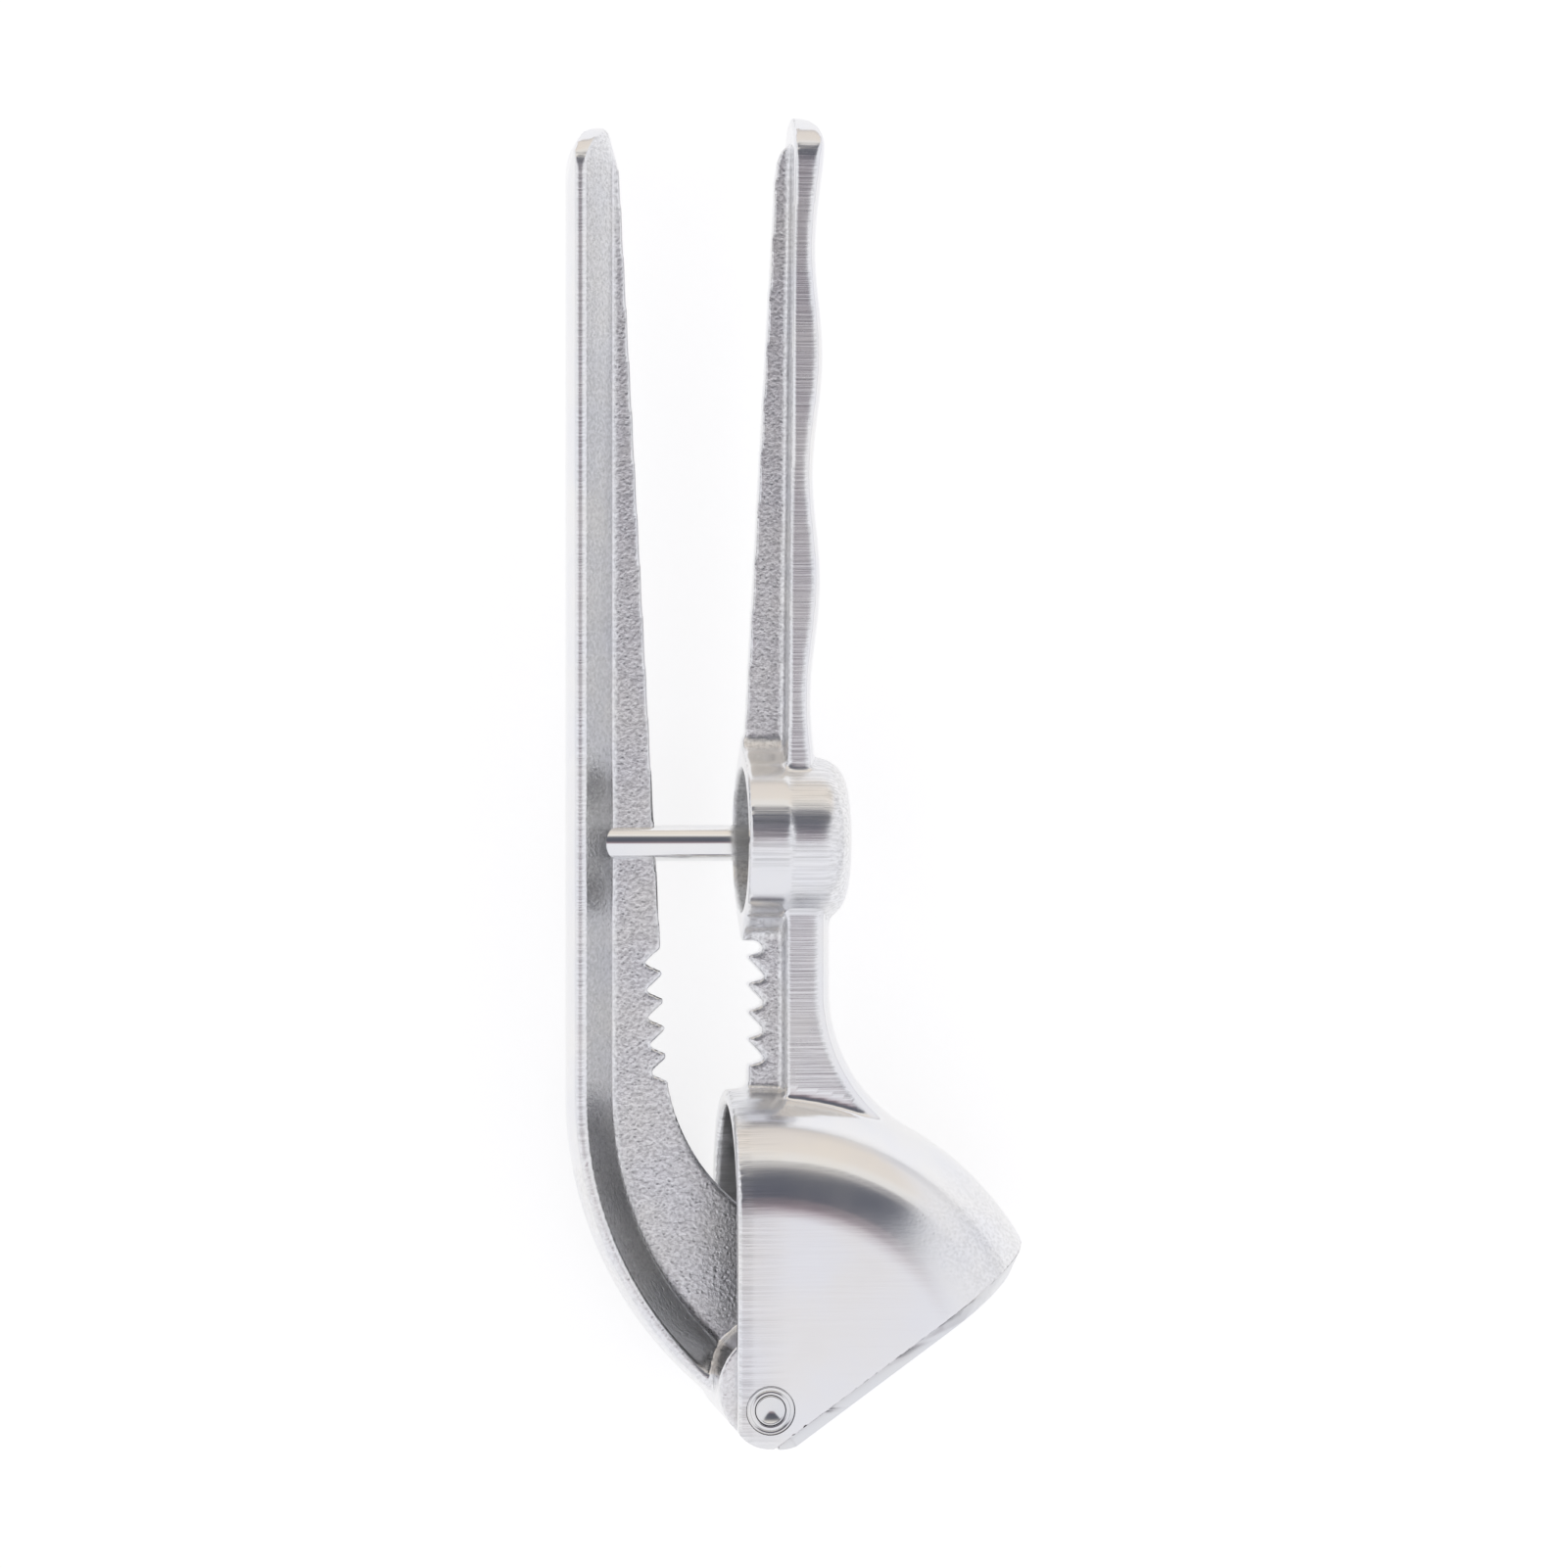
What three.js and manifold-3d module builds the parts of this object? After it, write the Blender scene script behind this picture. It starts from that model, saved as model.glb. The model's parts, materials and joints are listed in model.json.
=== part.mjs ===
// Garlic press with nutcracker jaws and a fruit stoner, lying on its side.
//
// Two cast aluminium arms turn on one rivet. The hopper arm ends in a fan-shaped hopper, closed by a
// perforated sieve plate, and carries the stoning cup. The plunger arm swings its plunger through the
// hopper and carries the stoning pin.
//
// Millimetres. X runs across the handles, Y along them away from the rivet, Z up along the rivet's axis.
// Every piece is drawn about the rivet's axis, at the middle of the press's thickness. The finished press
// is then set down with the middle of its underside at the origin.

import * as THREE from "three";
import { mergeVertices } from "three/addons/utils/BufferGeometryUtils.js";
import Module from "manifold-3d";

const wasm = await Module();
wasm.setup();

const { degToRad } = THREE.MathUtils;

// ---- Fits between pieces ----
const SEAT_GAP = 0.3; // between pieces that touch
const SWING_GAP = 0.35; // between the plunger and the hopper's wall
const PRESSED_GAP = 0.6; // between the plunger and the sieve when the handles are squeezed
const CLOSING_ANGLE = degToRad(6.5); // left to squeeze, from the half-closed rest position

// ---- Hopper ----
const HOPPER_WIDTH = 34;
const HOPPER_RADIUS = 44.1; // of the fan, about the rivet
const HOPPER_WALL = 2.2;
const MOUTH_OFFSET = 4.6; // the open mouth's plane stands this far left of the rivet
const EAR_RADIUS = 5.5; // round ears that hold the rivet

// ---- Sieve plate ----
const SIEVE_ANGLE = degToRad(36); // above the X axis
const SIEVE_OFFSET = 6.2; // outer face, from the rivet's axis
const SIEVE_THICKNESS = 1.5;
const SIEVE_HOLE_RADIUS = 0.9;
const SIEVE_HOLE_PITCH = 3.4;
const SIEVE_RIM = 2.4; // solid border inside the hopper's wall
const SIEVE_START = 3; // the plate's rivet end, between the ears
const TAB_START = 1.1; // the side tabs' ends, under the ears
const NOSE_SET_BACK = 3.4; // how far the hopper's nose is drawn in at the sieve's outer face
const NOSE_HEIGHT = 2.4; // how far above that face it starts to be drawn in

// ---- Rivet ----
const RIVET_RADIUS = 2.1;
const RIVET_FLANGE = 1.3; // the head and the washer are this much wider than the shank
const RIVET_RECESS = 1.0; // depth of the pocket for the head or the washer
const WASHER_THICKNESS = 0.6;
const TAIL_HEIGHT = 0.7; // domed tail above the washer

// ---- Handles ----
const HANDLE_WIDTH = 13;
const GRIP_LENGTH = 91.1; // from the cup to the tip of the hopper arm
const WEB_THICKNESS = 2.6;

// ---- Hopper arm above the hopper ----
const FLANGE_FACE = 3.6; // the flange's inner face, right of the rivet
const GRIP_DEPTH = 4.9; // the grip's thickness at a crest of the finger waves
const GRIP_CROWN = 1.4; // the grip's rounded back stands this far above its sides
const GRIP_LEAN = degToRad(0.65); // the grip leans outwards from the cup
const GRIP_WEB_ROUND = 9; // the web's free edge curves into the grip over this height
const GRIP_WEB_DROP = 4; // from the tip to the top of the web
const FINGER_PITCH = 32; // from one hollow of the finger waves to the next
const FINGER_HOLLOW = 1.2; // how deep the hollows are
const FIRST_HOLLOW = 8.5; // above the cup
const NECK_DEPTH = 6.7; // the flange's thickness between the cup and the hopper
const NECK_CROWN = 2.4;
const NECK_RADIUS = 22.5; // hollow curve from the neck into the hopper
const WEB_EDGE_AT_CUP = -2.1; // X of the web's free edge
const WEB_EDGE_AT_TIP = 1.3;

// ---- Stoning cup and pin ----
const CUP_RADIUS = 12;
const CUP_WALL = 2;
const CUP_MOUTH = -2.3; // X of the cup's rim
const CUP_END = 12.7;
const CUP_FLOOR = 2.6;
const CUP_CORNER = 4.5;
const STONE_HOLE_RADIUS = 5;
const RIB_REACH = 2.4; // ribs fill the corners above and below the cup, this far beyond it
const RIB_HALF = 5.4; // half the ribs' thickness where they meet the cup
const PIN_RADIUS = 2.6;
const PIN_TIP = 4.5; // X of the pin's tip at rest
const PIN_TIP_CHAMFER = 0.5;
const PIN_DROP = 0.5; // the pin's axis below the cup's, so that it enters the cup squarely
const PIN_SEAT = 1.5; // how deep the pin's end sits in the flange

// ---- Nutcracker teeth ----
const TOOTH_PITCH = 3.9;
const TOOTH_COUNT = 5;
const TOOTH_DEPTH = 2.6;
const JAW_ROOT_SHARE = 0.24; // each root's place between the tips below and above it
const LEVER_ROOT_SHARE = 0.36;
const TEETH_ABOVE_HOPPER = 3.1;
const TEETH_BELOW_CUP = 0.8;
const LEVER_TEETH_DROP = 2.3; // the lever's teeth stand this much nearer the rivet
const JAW_EDGE = -1.4; // X of the hopper arm's tooth tips
const JAW_THICKNESS = 4;

// ---- Plunger arm ----
const LEVER_BACK = 27.3; // the lever's straight back stands this far left of the rivet
const LEVER_SHORTER = 1.9; // the lever's tip ends this far below the hopper arm's
const LEVER_CROWN = 0.8; // the lever's rounded back stands this far above its sides
const LEVER_EDGE = 1.4; // flange thickness along its sides
const LEVER_SHOULDER = 6.8; // from the back to where the sloping underside meets the web
const LEVER_PAST_RIVET = 3.7; // the lever's back passes this far beyond the rivet's axis
const BEND_BELOW_TEETH = 1.8;
const LEVER_WEB_AT_TIP = 7.2; // from the back to the web's free edge
const LEVER_WEB_AT_TEETH = 13.45;
const LEVER_TIP_ROUND = 9.5; // height of the rounded outer corner, which is half as wide
const LEVER_TIP_SLANT = 6.5; // height of the slanted inner corner
const LEVER_TIP_CUT = 1.4; // and how far it cuts in at the tip
const THROAT_RADIUS = 27.3; // hollow curve of the web between the teeth and the plunger
const THROAT_TURN = degToRad(72);
const THROAT_LEAN = degToRad(8.8); // where the throat starts, above its own centre
const PLUNGER_THICKNESS = 4;
const BARREL_RADIUS = 8.3; // rounded end of the plunger around the rivet
const BARREL_X = 1.3;
const BARREL_Y = 2.8;

// ---- How finely round shapes are cut ----
const FINE_STEPS = 96;
const ROUND_STEPS = 48;
const SMALL_STEPS = 24;
const CORNER_STEPS = 6;
const SIEVE_HOLE_STEPS = 6;
const FAR = 300; // longer than the press
const JOIN = 0.2; // overlap of stretches that are one casting

// ---- Places that follow from the sizes ----
const hopperHalf = HOPPER_WIDTH / 2;
const hollowHalf = hopperHalf - HOPPER_WALL;
const handleHalf = HANDLE_WIDTH / 2;
const webHalf = WEB_THICKNESS / 2;
const hollowRadius = HOPPER_RADIUS - HOPPER_WALL;
const plungerHalf = hollowHalf - SWING_GAP;
const plungerRadius = hollowRadius - SWING_GAP;
const sieveInner = SIEVE_OFFSET - SIEVE_THICKNESS;
const teethBottom = HOPPER_RADIUS + TEETH_ABOVE_HOPPER;
const teethTop = teethBottom + TOOTH_COUNT * TOOTH_PITCH;
const cupY = teethTop + TEETH_BELOW_CUP + CUP_RADIUS;
const cupTop = cupY + CUP_RADIUS;
const armTip = cupTop + GRIP_LENGTH;
const leverTip = armTip - LEVER_SHORTER;
const leverTeethBottom = teethBottom - LEVER_TEETH_DROP;
const leverTeethTop = teethTop - LEVER_TEETH_DROP;
const pinY = cupY - PIN_DROP;
const bendY = leverTeethBottom - BEND_BELOW_TEETH;
const bendChord = LEVER_BACK ** 2 - LEVER_PAST_RIVET ** 2 + bendY ** 2;
const bendRadius = bendChord / (2 * (LEVER_BACK - LEVER_PAST_RIVET));
const bendX = bendRadius - LEVER_BACK;
const rivetHole = RIVET_RADIUS + SEAT_GAP;
const rivetFlange = RIVET_RADIUS + RIVET_FLANGE;

// ---- From geometries to solids and back ----

// A closed geometry as a solid, with its faces turned outwards.
function toSolid(geometry) {
  const bare = geometry.clone();
  bare.deleteAttribute("normal");
  bare.deleteAttribute("uv");
  const merged = mergeVertices(bare, 1e-4);
  const positions = merged.attributes.position;
  const corner = new THREE.Vector3();
  const cross = new THREE.Vector3();
  const triangles = [];
  let volume = 0;
  for (let i = 0; i < merged.index.count; i += 3) {
    const [a, b, c] = [0, 1, 2].map((k) => merged.index.getX(i + k));
    if (a === b || b === c || c === a) continue;
    const [p, q, r] = [a, b, c].map((v) => corner.fromBufferAttribute(positions, v).clone());
    volume += p.dot(cross.crossVectors(q, r));
    triangles.push([a, b, c]);
  }
  const outward = volume > 0 ? triangles : triangles.map(([a, b, c]) => [a, c, b]);
  return new wasm.Manifold(new wasm.Mesh({
    numProp: 3,
    vertProperties: new Float32Array(positions.array),
    triVerts: new Uint32Array(outward.flat()),
  }));
}

function toGeometry(solid) {
  const mesh = solid.getMesh();
  const geometry = new THREE.BufferGeometry();
  geometry.setAttribute("position", new THREE.BufferAttribute(mesh.vertProperties, 3));
  geometry.setIndex(new THREE.BufferAttribute(mesh.triVerts, 1));
  return geometry;
}

function joined(...solids) {
  return solids.reduce((whole, piece) => whole.add(piece));
}

// ---- Ways to draw a solid ----

function outline(points) {
  return new THREE.Shape(points.map(([x, y]) => new THREE.Vector2(x, y)));
}

// A side view in X and Y, thickened both ways from the middle plane.
function slab(shape, half) {
  const options = { depth: 2 * half, bevelEnabled: false, curveSegments: SMALL_STEPS };
  return toSolid(new THREE.ExtrudeGeometry(shape, options).translate(0, 0, -half));
}

// A cross-section in X and Z, drawn along Y.
function rail(shape, from, to) {
  const options = { depth: to - from, bevelEnabled: false, curveSegments: SMALL_STEPS };
  return toSolid(new THREE.ExtrudeGeometry(shape, options).rotateX(-Math.PI / 2).translate(0, from, 0));
}

// A plan in Y and Z, drawn along X, or along the whole of it.
function planColumn(shape, from = -FAR, length = 2 * FAR) {
  const toPlan = new THREE.Matrix4().makeBasis(
    new THREE.Vector3(0, 1, 0),
    new THREE.Vector3(0, 0, 1),
    new THREE.Vector3(1, 0, 0),
  );
  const options = { depth: length, bevelEnabled: false, curveSegments: SMALL_STEPS };
  return toSolid(new THREE.ExtrudeGeometry(shape, options).translate(0, 0, from).applyMatrix4(toPlan));
}

// A profile of [radius, height] points turned about the Z axis.
function turnedOnZ(profile, steps) {
  const points = profile.map(([radius, z]) => new THREE.Vector2(radius, z));
  return new THREE.LatheGeometry(points, steps).rotateX(Math.PI / 2);
}

// A profile of [radius, X] points turned about a line along X at the given height.
function turnedOnX(profile, y, steps) {
  const points = profile.map(([radius, x]) => new THREE.Vector2(radius, x));
  return toSolid(new THREE.LatheGeometry(points, steps).rotateZ(-Math.PI / 2).translate(0, y, 0));
}

// Points of an arc about (x, y), from one angle to another.
function arcPoints(x, y, radius, from, to, steps) {
  return Array.from({ length: steps + 1 }, (_, i) => {
    const angle = from + ((to - from) * i) / steps;
    return [x + radius * Math.cos(angle), y + radius * Math.sin(angle)];
  });
}

// A fan: flat sides near the axis and a half-round rim, turned about the rivet's axis.
function fan(radius, half) {
  const rim = arcPoints(radius - half, 0, half, -Math.PI / 2, Math.PI / 2, 3 * CORNER_STEPS);
  return toSolid(turnedOnZ([[0, -half], ...rim, [0, half]], FINE_STEPS));
}

// A round column along the whole of Z.
function zColumn(radius, steps, x = 0, y = 0) {
  return toSolid(turnedOnZ([[0, -FAR], [radius, -FAR], [radius, FAR], [0, FAR]], steps).translate(x, y, 0));
}

function rivetHoleThrough() {
  return zColumn(rivetHole, SMALL_STEPS);
}

// A point of the sieve's own frame: along the plate from the rivet, and outwards from the rivet's axis.
function onSieve(along, out, angle = SIEVE_ANGLE) {
  return [
    along * Math.cos(angle) + out * Math.sin(angle),
    along * Math.sin(angle) - out * Math.cos(angle),
  ];
}

function sieveSlab(from, to, inner, outer, angle = SIEVE_ANGLE) {
  return outline([
    onSieve(from, inner, angle),
    onSieve(from, outer, angle),
    onSieve(to, outer, angle),
    onSieve(to, inner, angle),
  ]);
}

// The space that the hopper's nose keeps to: its half-round rim is drawn in towards the sieve's outer face.
function noseLimit() {
  const half = hopperHalf;
  const centre = HOPPER_RADIUS - half;
  const steps = ROUND_STEPS;
  const nose = new THREE.CylinderGeometry(half + 1, half, NOSE_HEIGHT + JOIN, steps).toNonIndexed();
  nose.translate(0, (NOSE_HEIGHT - JOIN) / 2, 0);
  const position = nose.attributes.position;
  for (let i = 0; i < position.count; i += 1) {
    if (position.getY(i) < 0) position.setX(i, (position.getX(i) * (half - NOSE_SET_BACK)) / half);
  }
  nose.translate(centre, 0, 0);
  const toFrame = new THREE.Matrix4().makeRotationZ(SIEVE_ANGLE);
  const [x, y] = onSieve(0, SIEVE_OFFSET);
  nose.applyMatrix4(toFrame).translate(x, y, 0);
  const beyond = slab(sieveSlab(-FAR, centre, -FAR, FAR), FAR);
  const above = slab(sieveSlab(-FAR, FAR, -FAR, SIEVE_OFFSET - NOSE_HEIGHT + JOIN), FAR);
  return joined(toSolid(nose), beyond, above);
}

// ---- Hopper arm ----

// The hopper's side view: mouth plane, the seat of the sieve plate, and the ears.
function hopperSide() {
  const seat = sieveInner - SEAT_GAP;
  const tabX = TAB_START - SEAT_GAP;
  const along = (tabX - seat * Math.sin(SIEVE_ANGLE)) / Math.cos(SIEVE_ANGLE);
  const earStart = -Math.acos(tabX / EAR_RADIUS);
  const earEnd = -Math.PI + Math.acos(Math.min(MOUTH_OFFSET / EAR_RADIUS, 1));
  return outline([
    [-MOUTH_OFFSET, FAR],
    [FAR, FAR],
    onSieve(FAR, seat),
    onSieve(along, seat),
    ...arcPoints(0, 0, EAR_RADIUS, earStart, earEnd, SMALL_STEPS / 2),
    [-MOUTH_OFFSET, 0],
  ]);
}

// X of the grip's back at a height above the cup, before the grip is leaned.
function gripBack(height) {
  const phase = (2 * Math.PI * (height - FIRST_HOLLOW)) / FINGER_PITCH;
  return FLANGE_FACE + GRIP_DEPTH - (FINGER_HOLLOW * (1 + Math.cos(phase))) / 2;
}

// A side view in X and Y, thickened from the middle plane and with a rounded back and sides.
function rounded(shape, half, crown) {
  const options = {
    depth: JOIN,
    bevelThickness: half - JOIN / 2,
    bevelSize: crown,
    bevelOffset: -crown,
    bevelSegments: CORNER_STEPS,
    curveSegments: SMALL_STEPS / 2,
  };
  return toSolid(new THREE.ExtrudeGeometry(shape, options).translate(0, 0, -JOIN / 2));
}

// Everything outwards from the flange's inner face.
function behindFace() {
  return slab(outline([[FLANGE_FACE, -FAR], [FAR, -FAR], [FAR, FAR], [FLANGE_FACE, FAR]]), FAR);
}

// The grip's side view: finger waves along the back and a round tip.
function gripSide() {
  const steps = Math.ceil(GRIP_LENGTH / (FINGER_PITCH / 12));
  const round = GRIP_DEPTH - FINGER_HOLLOW / 2;
  const top = GRIP_LENGTH - round;
  const back = Array.from({ length: steps + 1 }, (_, i) => {
    const height = (top * i) / steps;
    return [gripBack(height), cupTop + height];
  });
  const tip = arcPoints(gripBack(top) - round, armTip - round, round, 0, Math.PI / 2, CORNER_STEPS);
  const inside = FLANGE_FACE - 2 * GRIP_CROWN;
  return outline([[inside, cupY], [gripBack(0), cupY], ...back, ...tip.slice(1), [inside, armTip]]);
}

// A handle's plan, with a round end at the tip.
function handlePlan(tip) {
  const shape = new THREE.Shape();
  shape.moveTo(-FAR, -handleHalf);
  shape.lineTo(tip - handleHalf, -handleHalf);
  shape.absarc(tip - handleHalf, 0, handleHalf, -Math.PI / 2, Math.PI / 2, false);
  shape.lineTo(-FAR, handleHalf);
  return shape;
}

// Turns a solid so that the grip leans outwards about the middle of the cup.
function leaned(solid) {
  const turn = THREE.MathUtils.radToDeg(GRIP_LEAN);
  return solid.translate([0, -cupY, 0]).rotate([0, 0, -turn]).translate([0, cupY, 0]);
}

function grip() {
  const flange = rounded(gripSide(), handleHalf, GRIP_CROWN).intersect(behindFace());
  return leaned(flange.intersect(planColumn(handlePlan(armTip))));
}

// The thin web under the grip, widening from the tip to the cup.
function gripWeb() {
  const inFlange = FLANGE_FACE + GRIP_DEPTH / 4;
  const webTop = armTip - GRIP_WEB_DROP;
  const shape = new THREE.Shape();
  shape.moveTo(inFlange, cupY);
  shape.lineTo(inFlange, webTop);
  shape.lineTo(FLANGE_FACE, webTop);
  shape.quadraticCurveTo(WEB_EDGE_AT_TIP, webTop, WEB_EDGE_AT_TIP, webTop - GRIP_WEB_ROUND);
  shape.lineTo(WEB_EDGE_AT_CUP, cupTop);
  shape.lineTo(WEB_EDGE_AT_CUP, cupY);
  return leaned(slab(shape, webHalf));
}

// The neck's flange, which runs into the hopper's back along a hollow curve.
function neck() {
  const back = FLANGE_FACE + NECK_DEPTH;
  const x = back + NECK_RADIUS;
  const y = Math.sqrt((HOPPER_RADIUS + NECK_RADIUS) ** 2 - x ** 2);
  const touch = Math.atan2(-y, -x);
  const curve = arcPoints(x, y, NECK_RADIUS, -Math.PI, touch, CORNER_STEPS * 2);
  const tangent = Math.atan2(y, x);
  const inside = hollowRadius - hopperHalf;
  const face = FLANGE_FACE - 2 * NECK_CROWN;
  const shape = outline([
    [face, inside],
    [inside * Math.cos(tangent), inside * Math.sin(tangent)],
    ...curve.reverse(),
    [back, cupY],
    [face, cupY],
  ]);
  return rounded(shape, handleHalf, NECK_CROWN).intersect(behindFace());
}

// One edge of teeth along Y, from the bottom up. Each notch runs from a tip to its root and back out.
function teeth(start, tipX, depth, rootShare) {
  const notches = Array.from({ length: TOOTH_COUNT }, (_, i) => {
    const tip = start + i * TOOTH_PITCH;
    const root = tip + rootShare * TOOTH_PITCH;
    const next = tip + TOOTH_PITCH;
    return [[tipX(tip), tip], [tipX(tip) + depth, root], [tipX(next), next - JOIN]];
  });
  return notches.flat();
}

// The jaw of the hopper arm, with teeth along its free edge.
function jaw() {
  const inFlange = FLANGE_FACE + GRIP_DEPTH / 4;
  const inHopper = HOPPER_RADIUS - 1.5 * HOPPER_WALL;
  const edge = teeth(teethBottom, () => JAW_EDGE, TOOTH_DEPTH, JAW_ROOT_SHARE);
  return slab(outline([
    [inFlange, inHopper],
    [inFlange, cupY],
    [JAW_EDGE, cupY],
    ...edge.reverse(),
    [JAW_EDGE, inHopper],
  ]), JAW_THICKNESS / 2);
}

// The ribs that fill the corners between the cup and the web above it and the jaw below it.
function cupRibs() {
  const reach = CUP_RADIUS + RIB_REACH;
  const mid = (CUP_RADIUS + reach) / 2;
  const seat = Math.sqrt(CUP_RADIUS ** 2 - RIB_HALF ** 2);
  const deep = CUP_RADIUS / 2;
  const half = [[reach, webHalf], [mid, webHalf + RIB_REACH / 2], [seat, RIB_HALF], [deep, RIB_HALF]];
  const side = [...half, ...half.map(([out, z]) => [out, -z]).reverse()];
  const length = FLANGE_FACE - CUP_MOUTH;
  const above = outline(side.map(([out, z]) => [cupY + out, z]));
  const below = outline(side.map(([out, z]) => [cupY - out, z]));
  return joined(...[above, below].map((shape) => planColumn(shape, CUP_MOUTH, length)));
}

function cupBody() {
  const [x, y] = [CUP_RADIUS - CUP_CORNER, CUP_END - CUP_CORNER];
  const corner = arcPoints(x, y, CUP_CORNER, 0, Math.PI / 2, CORNER_STEPS);
  return turnedOnX([[0, CUP_MOUTH], [CUP_RADIUS, CUP_MOUTH], ...corner, [0, CUP_END]], cupY, ROUND_STEPS);
}

function cupHollow() {
  const bore = CUP_RADIUS - CUP_WALL;
  const floor = CUP_END - CUP_FLOOR;
  const corner = arcPoints(bore - CUP_WALL, floor - CUP_WALL, CUP_WALL, 0, Math.PI / 2, CORNER_STEPS / 2);
  const outlet = [[STONE_HOLE_RADIUS, floor], [STONE_HOLE_RADIUS, FAR]];
  return turnedOnX([[0, -FAR], [bore, -FAR], ...corner, ...outlet, [0, FAR]], cupY, ROUND_STEPS);
}

function rivetPockets() {
  const pocket = (from, to) => {
    const radius = rivetFlange + SEAT_GAP;
    return toSolid(turnedOnZ([[0, from], [radius, from], [radius, to], [0, to]], SMALL_STEPS));
  };
  return joined(pocket(hopperHalf - RIVET_RECESS, FAR), pocket(-FAR, RIVET_RECESS - hopperHalf));
}

function hopperArm() {
  const bowl = fan(HOPPER_RADIUS, hopperHalf).intersect(slab(hopperSide(), FAR)).intersect(noseLimit());
  return joined(bowl, neck(), jaw(), cupBody(), cupRibs(), grip(), gripWeb())
    .subtract(fan(hollowRadius, hollowHalf))
    .subtract(cupHollow())
    .subtract(rivetHoleThrough())
    .subtract(rivetPockets());
}

// ---- Sieve plate ----

// Centres of the holes, as [along, across], in a staggered pattern that keeps inside the rim.
function sieveHoles() {
  const reach = hollowHalf - SIEVE_RIM;
  const centre = hollowRadius - hollowHalf;
  const first = SIEVE_START + SIEVE_RIM + SIEVE_HOLE_RADIUS;
  const rowStep = SIEVE_HOLE_PITCH * Math.sin(Math.PI / 3);
  const holes = [];
  for (let row = 0; first + row * rowStep < centre + reach; row += 1) {
    const along = first + row * rowStep;
    const beyond = Math.max(along - centre, 0);
    const side = Math.sqrt(Math.max(reach ** 2 - beyond ** 2, 0));
    const stagger = row % 2 ? SIEVE_HOLE_PITCH / 2 : 0;
    for (let across = stagger; across <= side; across += SIEVE_HOLE_PITCH) {
      holes.push([along, across]);
      if (across > 0) holes.push([along, -across]);
    }
  }
  return holes;
}

function sievePlate() {
  const length = HOPPER_RADIUS + 1;
  const whole = fan(HOPPER_RADIUS, hopperHalf)
    .intersect(slab(sieveSlab(-length, length, sieveInner, SIEVE_OFFSET), FAR))
    .intersect(slab(outline([[TAB_START, -FAR], [FAR, -FAR], [FAR, FAR], [TAB_START, FAR]]), FAR))
    .intersect(noseLimit());
  const earRound = zColumn(EAR_RADIUS, ROUND_STEPS)
    .add(slab(sieveSlab(0, FAR, -FAR, FAR), FAR));
  const betweenEars = slab(sieveSlab(-length, SIEVE_START, -FAR, FAR), hollowHalf);
  let plate = whole.intersect(earRound).subtract(betweenEars);
  for (const [along, across] of sieveHoles()) {
    const [radius, depth] = [SIEVE_HOLE_RADIUS, SIEVE_THICKNESS * 3];
    const drill = new THREE.CylinderGeometry(radius, radius, depth, SIEVE_HOLE_STEPS);
    const [x, y] = onSieve(along, SIEVE_OFFSET - SIEVE_THICKNESS / 2);
    plate = plate.subtract(toSolid(drill.rotateZ(SIEVE_ANGLE).translate(x, y, across)));
  }
  return plate;
}

// ---- Plunger arm ----

// The lever's cross-section as [distance from the back, Z] points: a flange with a sloping underside.
function leverSection() {
  const shares = [-1, -0.67, -0.33, 0, 0.33, 0.67, 1];
  const edge = LEVER_CROWN + LEVER_EDGE;
  return [
    ...shares.map((share) => [LEVER_CROWN * share ** 2, share * handleHalf]),
    [edge, handleHalf],
    [LEVER_SHOULDER, webHalf - JOIN],
    [LEVER_SHOULDER, JOIN - webHalf],
    [edge, -handleHalf],
  ];
}

// The lever's side view, with a rounded outer corner and a slanted inner corner at the tip.
function leverTipSide() {
  const shoulder = -LEVER_BACK + LEVER_SHOULDER;
  const shape = new THREE.Shape();
  shape.moveTo(-LEVER_BACK, 0);
  shape.lineTo(FAR, 0);
  shape.lineTo(FAR, leverTip - LEVER_TIP_SLANT);
  shape.lineTo(shoulder, leverTip - LEVER_TIP_SLANT);
  shape.lineTo(shoulder - LEVER_TIP_CUT, leverTip);
  shape.lineTo(-LEVER_BACK + LEVER_TIP_ROUND / 2, leverTip);
  shape.quadraticCurveTo(-LEVER_BACK, leverTip, -LEVER_BACK, leverTip - LEVER_TIP_ROUND);
  return shape;
}

function leverStraight() {
  const section = outline(leverSection().map(([depth, z]) => [depth - LEVER_BACK, z]));
  return rail(section, bendY - JOIN, leverTip + 1)
    .intersect(slab(leverTipSide(), FAR))
    .intersect(planColumn(handlePlan(leverTip)));
}

// The same section carried round the bend to the rivet.
function leverBend() {
  const loop = leverSection().map(([depth, z]) => [bendRadius - depth, z]);
  const ring = toSolid(turnedOnZ([...loop, loop[0]], FINE_STEPS).translate(bendX, bendY, 0));
  const end = Math.atan2(-bendY, -bendX);
  const reach = 2 * bendRadius;
  return ring.intersect(slab(outline([
    [bendX, bendY],
    [bendX - reach, bendY],
    [bendX + reach * Math.cos(end), bendY + reach * Math.sin(end)],
  ]), FAR));
}

// X of the web's free edge at a height along the lever.
function leverWebEdge(y) {
  const share = (y - leverTeethTop) / (leverTip - leverTeethTop);
  return -LEVER_BACK + LEVER_WEB_AT_TEETH + share * (LEVER_WEB_AT_TIP - LEVER_WEB_AT_TEETH);
}

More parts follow.
